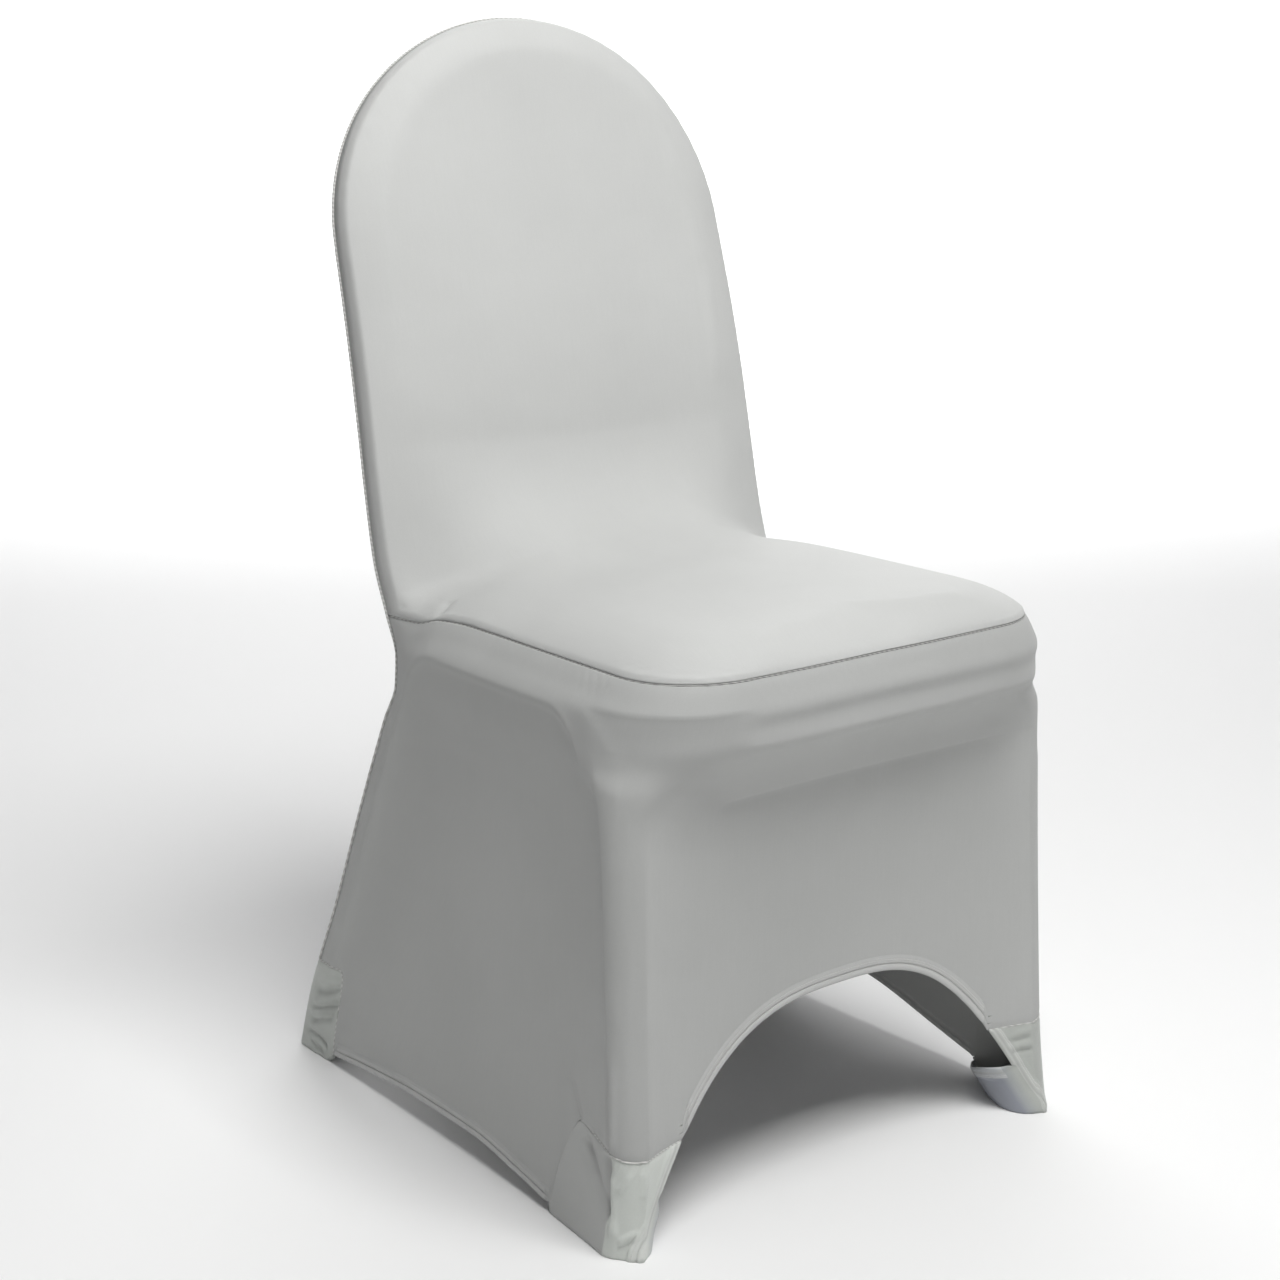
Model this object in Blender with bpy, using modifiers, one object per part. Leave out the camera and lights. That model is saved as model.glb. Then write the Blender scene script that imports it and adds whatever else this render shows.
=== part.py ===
"""Fitted stretch cover with a round-topped back: a long stretch panel, a skirt, a rear panel, foot pockets.

Metres, +Z up, front facing -Y. The floor is z = 0 and the cover stands over the origin. Each panel is laid
out as the left half (x < 0) and mirrored. A surface here is the inner face of the cloth: its thickness goes
outward, so two panels that share a seam line meet along it without touching.
"""
import math
from collections import namedtuple

import bmesh
import bpy
from mathutils import Vector

NAME = "chair_cover"
CLOTH = 0.0016
SEAM_GAP = 0.0004
GROOVE_GAP = 0.0013        # and in the groove of the seat seam, where the two edges lean towards each other
MERGE = 0.00005

# Back
BACK_HALF_WIDTH = 0.2035
ARCH_CENTRE_Z = 0.7485
ARCH_RISE = 0.1875
BACK_TURN = 0.006          # rear panel turned round the edge of the back and of the rear corners
REAR_CROWN = 0.004         # rear panel stands out this much behind the back
REAR_SAG = 0.012           # and hangs in this much between the rear corners

# Skirt
FRONT_ARCH_HALF_WIDTH = 0.2160
REAR_ARCH_HALF_WIDTH = 0.205
ARCH_HEM_RISE = 0.1685
ARCH_HEM_POWER = 2.8
ARCH_HEM_MIDDLE_Z = 0.08   # the outline at this height serves for the whole arch hem
CREASE_TOP_Z = 0.425       # the crease of the side: its top run, its bend, how deep and how soft
CREASE_BEND = 0.060
CREASE_DEPTH = 0.010
CREASE_LENGTH = 0.028
CREASE_LOW_SHARE = 0.25    # share of its depth left at the floor
CREASE_LOW_Z = 0.16
COLUMN_TOP_Z = 0.346       # from here down the corners are straight columns

# Foot pockets
REAR_POCKET_END = 6 + 4 / 6     # stations on the side where the pockets end
FRONT_POCKET_START = 7.625
FRONT_POCKET_END = 9.2          # and at the front hem
REAR_POCKET_SHARE = 0.30        # and across the rear panel
REAR_POCKET_Z = (0.096, 0.0905)
POUCH_DEPTH = 0.026
SOLE_Z = 0.0012            # inner face of the sole
TOE_REACH = 0.008
TOE_HEIGHT = 0.035

# Unevenness of the fitted cloth: the right side hem is drawn up and its front end forward, the front left
# foot stands back and out, the front right one forward, the seat corner is fuller on the right
RIGHT_HEM_LIFT = 0.034
RIGHT_HEM_DRAW = 0.022
LEFT_FOOT_BACK = 0.008
LEFT_FOOT_OUT = 0.006
RIGHT_FOOT_FORWARD = 0.006
RIGHT_CORNER_FULL = 0.0015
BOX_MIDDLE_Y = 0.0115      # moves the middle of the cover's length over the origin

# Colours from the photograph, linear
KNIT = (0.56, 0.57, 0.55)
KNIT_ROUGHNESS = 0.55
SATIN = (0.60, 0.63, 0.60)
SATIN_ROUGHNESS = 0.45

# Seam line of the back and of the rear corners, seen from the side, top to floor
Edge = namedtuple("Edge", "z half_width y")
REAR_EDGE = (
    Edge(0.940, 0.2035, 0.2180),
    Edge(0.860, 0.2035, 0.2070),
    Edge(0.780, 0.2035, 0.1905),
    Edge(0.671, 0.2060, 0.1635),
    Edge(0.604, 0.2080, 0.1490),
    Edge(0.537, 0.2095, 0.1360),
    Edge(0.486, 0.2100, 0.1250),
    Edge(0.443, 0.2085, 0.1100),
    Edge(0.409, 0.2075, 0.0980),
    Edge(0.385, 0.2085, 0.0985),
    Edge(0.350, 0.2105, 0.1150),
    Edge(0.267, 0.2145, 0.1510),
    Edge(0.158, 0.2190, 0.1960),
    Edge(0.063, 0.2230, 0.2390),
    Edge(0.000, 0.2255, 0.2580),
)

# Height of the seat seam: rear to front along the side, round the corner, then to the middle
SeamHeight = namedtuple("SeamHeight", "station z")
SEAT_SEAM = (
    SeamHeight(6.00, 0.4430),
    SeamHeight(6.24, 0.4435),
    SeamHeight(6.50, 0.4520),
    SeamHeight(6.80, 0.4552),
    SeamHeight(7.60, 0.4547),
    SeamHeight(8.20, 0.4545),
    SeamHeight(9.00, 0.4560),
    SeamHeight(10.0, 0.4575),
)

# Fullness of the stretch panel over its seam line: how far the cloth stands off, in which direction,
# how much of that is the upright edge and the bevel, and how far the edge rolls out over the seam
Fullness = namedtuple("Fullness", "station tilt depth upright bevel bevel_width roll")
FULLNESS = (
    Fullness(0.0, 10.0, 0.026, 0.010, 0.010, 0.030, 0.000),
    Fullness(2.0, 10.0, 0.030, 0.013, 0.013, 0.036, 0.000),
    Fullness(3.6, 11.0, 0.032, 0.015, 0.013, 0.042, 0.000),
    Fullness(4.2, 12.0, 0.033, 0.015, 0.011, 0.050, 0.000),
    Fullness(6.0, 12.0, 0.030, 0.014, 0.009, 0.060, 0.000),
    Fullness(6.01, 88.0, 0.028, 0.003, 0.011, 0.050, 0.000),
    Fullness(7.2, 90.0, 0.032, 0.002, 0.019, 0.050, 0.001),
    Fullness(8.5, 90.0, 0.031, 0.002, 0.021, 0.050, 0.003),
    Fullness(10.0, 90.0, 0.029, 0.002, 0.018, 0.050, 0.001),
)
EDGE_ROUNDING = 0.004
ROLL_WIDTH = 0.030
SWEEP_START = 4.2          # between these stations the cloth cuts the corner from back to seat
SWEEP_END = 7.2
SWEEP_FROM = 0.06          # shares of the way in at which it begins to do so, and does so fully
SWEEP_FULL = 0.66

# The seam line is walked by stations: top middle 0, neck 6, front corner 8 to 9, front middle 10
Run = namedtuple("Run", "name start end steps")
RUNS = (
    Run("arch", 0, 2, 8),
    Run("back side", 2, 4, 4),
    Run("sweep", 4, 6, 6),
    Run("seat rear", 6, 7, 6),
    Run("seat side", 7, 8, 8),
    Run("seat corner", 8, 9, 6),
    Run("seat front", 9, 10, 5),
)
ARCH_FOOT_Z = (0.862, 0.730)
SIDE_FOOT_Y = -0.155
FRONT_FOOT_Y = -0.222
ACROSS = (0.0, 0.006, 0.018, 0.05, 0.11, 0.19, 0.28, 0.42, 0.66, 1.0)
REAR_ACROSS = (0.0, 0.012, 0.04, 0.12, 0.30, 0.45, 0.62, 0.80, 1.0)

# Rows of the skirt below the seat seam: how far down, then the outline there. Bow says how squarely the front
# turns from the corner to its middle, and taper how late the side narrows towards the neck.
Level = namedtuple("Level", "name drop side_x corner_y centre_y corner bow taper")
LEVELS = (
    Level("seat seam", 0.000, 0.2030, -0.2755, -0.2800, 0.072, 2.0, 6.0),
    Level("roll", 0.013, 0.2135, -0.2785, -0.2832, 0.078, 2.0, 6.0),
    Level("upper ridge", 0.027, 0.2240, -0.2810, -0.2860, 0.086, 2.0, 6.0),
    Level("groove", 0.038, 0.2265, -0.2785, -0.2830, 0.088, 2.0, 5.5),
    Level("lower ridge", 0.053, 0.2285, -0.2775, -0.2835, 0.088, 2.0, 5.0),
    Level("under the roll", 0.066, 0.2302, -0.2620, -0.2660, 0.068, 2.0, 4.0),
    Level("pull in", 0.084, 0.2310, -0.2500, -0.2500, 0.036, 2.5, 3.0),
    Level("column top", 0.108, 0.2315, -0.2440, -0.2390, 0.024, 3.0, 2.0),
)
COLUMN_TOP = Level("column top", 0.0, 0.2315, -0.2440, -0.2380, 0.023, 3.0, 1.8)
COLUMN_FOOT = Level("column foot", 0.0, 0.2340, -0.2580, -0.2330, 0.020, 5.0, 1.0)
COLUMN_ROWS = (0.14, 0.30, 0.48, 0.66, 0.83, 1.0)

# Lower edge of the skirt on the side: a station at the column top, the station it reaches down to, its height.
# The first and last rows are the seams of the foot pockets, those between are the side hem.
Bottom = namedtuple("Bottom", "above below z")
BOTTOM = (
    Bottom(6.000, 6.000, 0.096),
    Bottom(6.167, 6.150, 0.0955),
    Bottom(6.333, 6.192, 0.074),
    Bottom(6.500, 6.204, 0.040),
    Bottom(6.667, 6.218, 0.010),
    Bottom(6.833, 6.500, 0.017),
    Bottom(7.000, 6.800, 0.022),
    Bottom(7.250, 7.150, 0.023),
    Bottom(7.500, 7.500, 0.013),
    Bottom(7.625, 7.650, 0.009),
    Bottom(7.750, 7.700, 0.050),
    Bottom(7.875, 7.810, 0.094),
    Bottom(8.000, 8.000, 0.085),
    Bottom(9.000, 9.000, 0.0815),
    Bottom(9.200, 9.200, 0.0812),
)

# Soles of the pockets: a station or share at the pocket's top, and that of the sole's edge below it
Sole = namedtuple("Sole", "above below")
FRONT_SOLE = (Sole(7.625, 7.66), Sole(7.875, 7.83), Sole(8.0, 8.0), Sole(8.5, 8.42), Sole(9.2, 8.97))
REAR_SOLE_SIDE = (Sole(6.0, 6.0), Sole(6.333, 6.09), Sole(6.667, 6.19))
REAR_SOLE_SHARE = (Sole(0.0, 0.0), Sole(0.12, 0.05), Sole(0.30, 0.093))
POCKET_ROWS = (0.0, 0.45, 0.75, 1.0)
POUCH_COLUMNS = (0.0, 0.17, 0.34, 0.50, 0.67, 0.83, 0.94, 1.0)
POUCH_SQUARENESS = 0.8


def read(rows, key, column, place):
    """Value of a column at a place between the rows, on a smooth curve that doesn't overshoot them."""
    ordered = sorted(rows, key=lambda row: getattr(row, key))
    xs = [getattr(row, key) for row in ordered]
    ys = [getattr(row, column) for row in ordered]
    if place <= xs[0]:
        return ys[0]
    if place >= xs[-1]:
        return ys[-1]
    rises = [(ys[i + 1] - ys[i]) / (xs[i + 1] - xs[i]) for i in range(len(xs) - 1)]
    slopes = [rises[0]]
    for before, after in zip(rises, rises[1:]):
        slopes.append(0.0 if before * after <= 0 else 2 * before * after / (before + after))
    slopes.append(rises[-1])
    i = max(k for k in range(len(xs) - 1) if xs[k] <= place)
    width = xs[i + 1] - xs[i]
    t = (place - xs[i]) / width
    start = (1 + 2 * t) * (1 - t) ** 2 * ys[i] + t * t * (3 - 2 * t) * ys[i + 1]
    return start + width * (t * (1 - t) ** 2 * slopes[i] - t * t * (1 - t) * slopes[i + 1])


def mix(low, high, share):
    return low + (high - low) * share


def ease(share):
    """Smooth step from 0 to 1."""
    share = min(max(share, 0.0), 1.0)
    return share * share * (3 - 2 * share)


def rear_edge(z):
    """Seam line at the rear of the side, left half."""
    return Vector((-read(REAR_EDGE, "z", "half_width", z), read(REAR_EDGE, "z", "y", z), z))


def stations(first, last):
    """Places along the seam line, top middle = 0, neck = 6, front middle = 10."""
    places = []
    for run in RUNS:
        for step in range(run.steps + 1):
            place = mix(run.start, run.end, step / run.steps)
            if first <= place <= last and place not in places:
                places.append(place)
    return places


def seat_outline(station, level, rear):
    """Point on one level of the skirt, round the side, the corner and the front."""
    corner_x = -level.side_x + level.corner
    corner_y = level.corner_y + level.corner
    if station <= 8:
        share = (station - 6) / 2
        spread = (1 - share) ** level.taper
        return mix(-level.side_x, rear.x, spread), mix(rear.y, corner_y, share)
    if station <= 9:
        turn = (station - 8) * math.pi / 2
        return corner_x - level.corner * math.cos(turn), corner_y - level.corner * math.sin(turn)
    x = corner_x * (10 - station)
    return x, mix(level.centre_y, level.corner_y, (10 - station) ** level.bow)


def back_seam(station):
    """Seam line of the back, stations 0 to 6."""
    if station <= 2:
        turn = station * math.pi / 4
        z = ARCH_CENTRE_Z + ARCH_RISE * math.cos(turn)
        return Vector((-BACK_HALF_WIDTH * math.sin(turn), read(REAR_EDGE, "z", "y", z), z))
    return rear_edge(mix(ARCH_CENTRE_Z, SEAT_SEAM[0].z, (station - 2) / 4))


def seam_point(station):
    """Edge of the stretch panel, round the back and the seat."""
    if station <= 6:
        return back_seam(station)
    x, y = seat_outline(station, LEVELS[0], rear_edge(SEAT_SEAM[0].z))
    return Vector((x, y, read(SEAT_SEAM, "station", "z", station)))


def row_foot(station):
    """Foot of a row of the stretch panel or the rear panel, on the middle plane, before the fullness."""
    neck = rear_edge(SEAT_SEAM[0].z)
    if station <= 2:
        z = mix(*ARCH_FOOT_Z, mix(ease(station / 2), station / 2, 0.6))
        return Vector((0, read(REAR_EDGE, "z", "y", z), z))
    if station <= 6:
        z = mix(ARCH_FOOT_Z[1], neck.z, (station - 2) / 4)
        return Vector((0, read(REAR_EDGE, "z", "y", z), z))
    seam_z = seam_point(station).z
    if station <= 8:
        return Vector((0, mix(neck.y, SIDE_FOOT_Y, (station - 6) / 2), seam_z))
    return Vector((0, mix(SIDE_FOOT_Y, FRONT_FOOT_Y, (station - 8) / 2), seam_z))


def flat_point(station, share):
    """Point at a share of the way in along a row, and how far in that is, before the fullness."""
    seam = seam_point(station)
    across = row_foot(station) - seam
    point = seam + across * share
    if station <= 6:
        point.y = read(REAR_EDGE, "z", "y", point.z)
    return point, across.length * share


def rounding(inward, radius):
    """Quarter round: 0 at the edge, 1 from the radius on."""
    share = min(inward / radius, 1.0)
    return math.sqrt(1 - (1 - share) ** 2)


def stand_off(station, inward, share):
    """How far, and which way, the stretch panel stands off at a distance in from its edge."""
    tilt, depth, upright, bevel, width = (read(FULLNESS, "station", column, station)
                                          for column in ("tilt", "depth", "upright", "bevel", "bevel_width"))
    slope = min(inward / width, 1.0)
    height = upright * rounding(inward, EDGE_ROUNDING) + bevel * (1 - (1 - slope) ** 1.4)
    height += (depth - upright - bevel) * (1 - (1 - share) ** 2)
    direction = Vector((0, -math.cos(math.radians(tilt)), math.sin(math.radians(tilt))))
    return direction * max(height, SEAM_GAP)


def full_point(station, share):
    """Point of the stretch panel where it lies over the back or over the seat."""
    point, inward = flat_point(station, share)
    outward = (seam_point(station) - row_foot(station)).normalized()
    roll = read(FULLNESS, "station", "roll", station) * math.sin(math.pi * min(inward / ROLL_WIDTH, 1))
    return point + outward * roll + stand_off(station, inward, share)


def sweep_point(station, share):
    """Point of the stretch panel where it cuts the corner from the back to the seat."""
    above = full_point(SWEEP_START, share)
    ahead = full_point(SWEEP_END, share)
    neck = seam_point(6)
    inward = abs(neck.x) * share
    corner = Vector((neck.x * (1 - share), neck.y, neck.z))
    corner += stand_off(6, inward, share) + stand_off(6.01, inward, share)
    if station <= 6:
        along = (station - SWEEP_START) / (6 - SWEEP_START)
        fitted = above.lerp(corner, along)
        straight = seam_point(SWEEP_START).lerp(neck, along)
    else:
        along = (station - 6) / (SWEEP_END - 6)
        fitted = corner.lerp(ahead, along)
        straight = neck.lerp(seam_point(SWEEP_END), along)
    fitted += (seam_point(station) - straight) * (1 - share) ** 2
    bend = (station - SWEEP_START) / (SWEEP_END - SWEEP_START)
    cut = above * (1 - bend) ** 2 + corner * 2 * bend * (1 - bend) + ahead * bend ** 2
    return fitted.lerp(cut, ease((share - SWEEP_FROM) / (SWEEP_FULL - SWEEP_FROM)))


def stretch_point(station, share):
    """Point of the stretch panel on the row of a station, from its edge (0) to the middle (1)."""
    if SWEEP_START < station < SWEEP_END:
        return sweep_point(station, share)
    return full_point(station, share)


def inside_crease(y, z, front_y, rear_y):
    """Distance inside the crease that follows the front corner and the top of the side."""
    centre_y = (front_y + rear_y) / 2
    half = (rear_y - front_y) / 2
    bend = min(CREASE_BEND, half)
    over_y = abs(y - centre_y) - half + bend
    over_z = z - CREASE_TOP_Z + bend
    outside = math.hypot(max(over_y, 0), max(over_z, 0)) + min(max(over_y, over_z), 0) - bend
    return max(-outside, 0)


def arch_height(x, half_width):
    """Height of the front or rear hem at a distance from the middle."""
    return ARCH_HEM_RISE * (1 - min(abs(x) / half_width, 1) ** ARCH_HEM_POWER)


def arch_half_width(z, half_width):
    """How far out the front or rear hem is at a height."""
    return half_width * (1 - z / ARCH_HEM_RISE) ** (1 / ARCH_HEM_POWER)


def column_level(z):
    """Outline of the skirt below the column top."""
    share = 1 - z / COLUMN_TOP_Z
    values = [mix(top, foot, share) for top, foot in zip(COLUMN_TOP[1:], COLUMN_FOOT[1:])]
    return Level("column", *values)


def side_point(station, level, z):
    """Point of the skirt or of a front pocket at a height, with the crease of the side drawn in."""
    rear = rear_edge(z)
    x, y = seat_outline(station, level, rear)
    if station < 8:
        inside = inside_crease(y, z, level.corner_y + level.corner * 0.9, rear.y - 0.022)
        depth = CREASE_DEPTH * mix(CREASE_LOW_SHARE, 1, ease(z / CREASE_LOW_Z))
        x += depth * (1 - math.exp(-inside / CREASE_LENGTH))
    return Vector((x, y, z))


def skirt_point(station, row):
    """Point of the skirt: the first rows are its levels, the rest lead to the lower edge."""
    top = seam_point(station).z
    if row < len(LEVELS):
        level = LEVELS[row]
        return side_point(station, level, top - level.drop)
    share = COLUMN_ROWS[row - len(LEVELS)]
    below, hem = lower_edge(station)
    z = mix(top - LEVELS[-1].drop, hem, share)
    return side_point(mix(station, below, share), column_level(z), z)


def lower_edge(station):
    """Under a station at the column top: the station of the lower edge, and its height."""
    if station <= FRONT_POCKET_END:
        return read(BOTTOM, "above", "below", station), read(BOTTOM, "above", "z", station)
    x = seat_outline(station, column_level(ARCH_HEM_MIDDLE_Z), rear_edge(ARCH_HEM_MIDDLE_Z))[0]
    return station, arch_height(x, FRONT_ARCH_HALF_WIDTH)


def rear_point(edge, share):
    """Point of the rear panel or a rear pocket: in from the rear edge to the middle."""
    inward = abs(edge.x) * share
    below_neck = ease((rear_neck().z - edge.z) / 0.15) * ease(edge.z / 0.12)
    middle = 1 - (1 - share) ** 2
    y = edge.y + BACK_TURN * rounding(inward, BACK_TURN)
    y += mix(REAR_CROWN, -REAR_SAG, below_neck) * middle
    return Vector((edge.x * (1 - share), y, edge.z))


def rear_neck():
    return rear_edge(SEAT_SEAM[0].z)


def rear_hem(share):
    """Height of the lower edge of the rear panel."""
    if share <= REAR_POCKET_SHARE:
        return mix(*REAR_POCKET_Z, share / REAR_POCKET_SHARE)
    x = rear_edge(ARCH_HEM_RISE).x * (1 - share)
    return arch_height(x, REAR_ARCH_HALF_WIDTH)


def rear_panel_point(row, share, places):
    """Point of the rear panel: rows along the seam of the back, then down the rear corners."""
    if row < len(places):
        point, inward = flat_point(places[row], share)
        point.y += max(BACK_TURN * rounding(inward, BACK_TURN), SEAM_GAP)
        point.y += REAR_CROWN * (1 - (1 - share) ** 2)
        return point
    row -= len(places) - 1
    if row < len(LEVELS):
        return rear_point(rear_edge(rear_neck().z - LEVELS[row].drop), share)
    down = COLUMN_ROWS[row - len(LEVELS)]
    z = mix(rear_neck().z - LEVELS[-1].drop, rear_hem(share), down)
    return rear_point(rear_edge(z), share)


def bump(value, middle, reach):
    """Smooth hump: 1 at the middle, 0 from the reach on."""
    return ease(1 - abs(value - middle) / reach)


def settle(point):
    """Small unevenness of the whole cover, the same for every panel so that their seams stay together."""
    x, y, z = point
    right = ease((x - 0.12) / 0.08)
    left = ease((-0.12 - x) / 0.08)
    low = max(1 - z / 0.30, 0) ** 2
    toe = max(1 - z / 0.10, 0) ** 2 * bump(y, -0.24, 0.14)
    corner = right * bump(z, 0.462, 0.045) * bump(y, -0.24, 0.14) * RIGHT_CORNER_FULL
    drawn = low * right * bump(y, -0.16, 0.13) * RIGHT_HEM_DRAW
    lifted = low * right * bump(y, 0.0, 0.2) * RIGHT_HEM_LIFT
    x += corner - toe * left * LEFT_FOOT_OUT
    y += toe * (left * LEFT_FOOT_BACK - right * RIGHT_FOOT_FORWARD) - drawn - corner
    return Vector((x, y + BOX_MIDDLE_Y, z + lifted))


def clear_collection():
    for item in list(bpy.data.objects):
        bpy.data.objects.remove(item, do_unlink=True)
    collection = bpy.data.collections.new(NAME)
    bpy.context.scene.collection.children.link(collection)
    return collection


def material(name, colour, roughness):
    paint = bpy.data.materials.new(name)
    paint.use_nodes = True
    shader = paint.node_tree.nodes["Principled BSDF"]
    shader.inputs["Base Color"].default_value = (*colour, 1)
    shader.inputs["Roughness"].default_value = roughness
    shader.inputs["Metallic"].default_value = 0.0
    return paint


def add_grid(bm, columns, rows, place):
    """A grid of quads whose point (column, row) stands at place(column, row)."""
    made = bmesh.ops.create_grid(bm, x_segments=columns - 1, y_segments=rows - 1, size=1)["verts"]
    for vert in made:
        column = round((vert.co.x + 1) / 2 * (columns - 1))
        row = round((vert.co.y + 1) / 2 * (rows - 1))
        vert.co = place(column, row)


def face_away(bm, centre):
    """Turn the faces of an open sheet so that they look away from a point inside it."""
    bmesh.ops.recalc_face_normals(bm, faces=bm.faces)
    votes = sum((face.calc_center_median() - centre).dot(face.normal) * face.calc_area() for face in bm.faces)
    if votes < 0:
        bmesh.ops.reverse_faces(bm, faces=bm.faces)


def cloth_object(collection, name, bm, paint, centre, even=True):
    """Weld and face a sheet, let it settle, and give it the thickness of the cloth on its outer side."""
    bmesh.ops.remove_doubles(bm, verts=bm.verts, dist=MERGE)
    face_away(bm, centre)
    for vert in bm.verts:
        vert.co = settle(vert.co)
    bmesh.ops.triangulate(bm, faces=bm.faces, quad_method="SHORT_EDGE", ngon_method="BEAUTY")
    mesh = bpy.data.meshes.new(name)
    bm.to_mesh(mesh)
    bm.free()
    mesh.shade_smooth()
    mesh.materials.append(paint)
    item = bpy.data.objects.new(name, mesh)
    collection.objects.link(item)
    thickness = item.modifiers.new("cloth", "SOLIDIFY")
    thickness.thickness = CLOTH
    thickness.offset = 1.0
    thickness.use_even_offset = even
    thickness.use_quality_normals = not even
    return item


def mirror_half(bm):
    """Join the right half to a left half whose open edges at the middle lie on x = 0."""
    for vert in bm.verts:
        if abs(vert.co.x) < MERGE:
            vert.co.x = 0
    bmesh.ops.mirror(bm, geom=bm.verts[:] + bm.edges[:] + bm.faces[:], axis="X", merge_dist=MERGE)


def back_and_seat_panel(collection, paint):
    places = stations(0, 10)
    bm = bmesh.new()
    add_grid(bm, len(places), len(ACROSS), lambda i, j: stretch_point(places[i], ACROSS[j]))
    mirror_half(bm)
    cloth_object(collection, "back_and_seat_panel", bm, paint, Vector((0, 0.1, 0.3)))


def skirt_panel(collection, paint):
    places = stations(6, 10)

    def place(i, j):
        point = skirt_point(places[i], j)
        if j == 0:
            point += (skirt_point(places[i], 1) - point).normalized() * GROOVE_GAP
        if i == 0:
            point.y -= SEAM_GAP
        return point

    bm = bmesh.new()
    add_grid(bm, len(places), len(LEVELS) + len(COLUMN_ROWS), place)
    mirror_half(bm)
    cloth_object(collection, "skirt_panel", bm, paint, Vector((0, 0, 0.25)))


def rear_panel(collection, paint):
    places = stations(0, 6)
    rows = len(places) + len(LEVELS) + len(COLUMN_ROWS) - 1
    bm = bmesh.new()
    add_grid(bm, rows, len(REAR_ACROSS), lambda i, j: rear_panel_point(i, REAR_ACROSS[j], places))
    mirror_half(bm)
    cloth_object(collection, "rear_panel", bm, paint, Vector((0, 0, 0.5)))


def front_wall(station, down):
    """Outer wall of a front pocket under a station, from the skirt's edge (0) to the sole (1)."""
    below, top = lower_edge(station)
    z = mix(top - 2 * SEAM_GAP, SOLE_Z, down)
    level = column_level(z)
    here = mix(below, read(FRONT_SOLE, "above", "below", station), down)
    point = side_point(here, level, z)
    if station == FRONT_POCKET_END:
        point.x = -arch_half_width(z, FRONT_ARCH_HALF_WIDTH)
        corner = level.side_x - level.corner
        point.y = mix(level.centre_y, level.corner_y, min(abs(point.x) / corner, 1) ** level.bow)
    elif FRONT_POCKET_START < station < 7.8:
        point.y -= 2 * SEAM_GAP * (1 - down)
    toe = ease((station - 8.6) / 0.6) * max(1 - z / TOE_HEIGHT, 0) ** 2
    point.y -= TOE_REACH * toe
    return point


def rear_wall(place, down):
    """Outer wall of a rear pocket: places from 6 lie on the side, smaller ones are shares of the rear."""
    if place >= 6:
        below, top = lower_edge(place)
        z = mix(top - 2 * SEAM_GAP, SOLE_Z, down)
        return side_point(mix(below, read(REAR_SOLE_SIDE, "above", "below", place), down), column_level(z), z)
    z = mix(rear_hem(place) - 2 * SEAM_GAP, SOLE_Z, down)
    edge = rear_edge(z)
    point = rear_point(edge, mix(place, read(REAR_SOLE_SHARE, "above", "below", place), down))
    if place == REAR_POCKET_SHARE:
        point.x = -arch_half_width(z, REAR_ARCH_HALF_WIDTH)
    return point


def foot_pocket(collection, name, paint, wall, places, side):
    """A pocket from its outer wall, whose places run from the arch hem round to the side hem."""
    bm = bmesh.new()
    rows = len(POCKET_ROWS)
    add_grid(bm, len(places), rows, lambda i, j: wall(places[i], POCKET_ROWS[j]))

    def pouch(i, j):
        share = POUCH_COLUMNS[i]
        hem = wall(places[0], POCKET_ROWS[j + 1])
        end = wall(places[-1], POCKET_ROWS[j + 1])
        point = hem.lerp(end, share)
        point.x += POUCH_DEPTH * max(math.sin(math.pi * share ** 0.7), 0) ** POUCH_SQUARENESS
        point.z = mix(hem.z, end.z, share ** 1.5)
        return point

    add_grid(bm, len(POUCH_COLUMNS), rows - 1, pouch)
    bmesh.ops.remove_doubles(bm, verts=bm.verts, dist=MERGE)
    sole = [edge for edge in bm.edges if edge.is_boundary and all(v.co.z < SOLE_Z + MERGE for v in edge.verts)]
    bmesh.ops.contextual_create(bm, geom=sole)
    for vert in bm.verts:
        vert.co.x *= -side
    middle = sum((vert.co for vert in bm.verts), Vector()) / len(bm.verts)
    cloth_object(collection, name, bm, paint, middle, even=False)


def main():
    collection = clear_collection()
    back_and_seat_panel(collection, material("stretch panel knit", KNIT, KNIT_ROUGHNESS))
    skirt_panel(collection, material("skirt knit", KNIT, KNIT_ROUGHNESS))
    rear_panel(collection, material("rear panel knit", KNIT, KNIT_ROUGHNESS))
    front_places = stations(FRONT_POCKET_START, FRONT_POCKET_END)[::-1]
    across = [share for share in REAR_ACROSS if share <= REAR_POCKET_SHARE]
    rear_places = across[::-1] + stations(6, REAR_POCKET_END + MERGE)
    for word, side in (("left", -1), ("right", 1)):
        for end, wall, places in (("front", front_wall, front_places), ("rear", rear_wall, rear_places)):
            paint = material(f"{end} {word} pocket satin", SATIN, SATIN_ROUGHNESS)
            foot_pocket(collection, f"foot_pocket_{end}_{word}", paint, wall, places, side)


main()
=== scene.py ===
import math
from bisect import bisect_right
from collections import namedtuple
from functools import lru_cache

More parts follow.
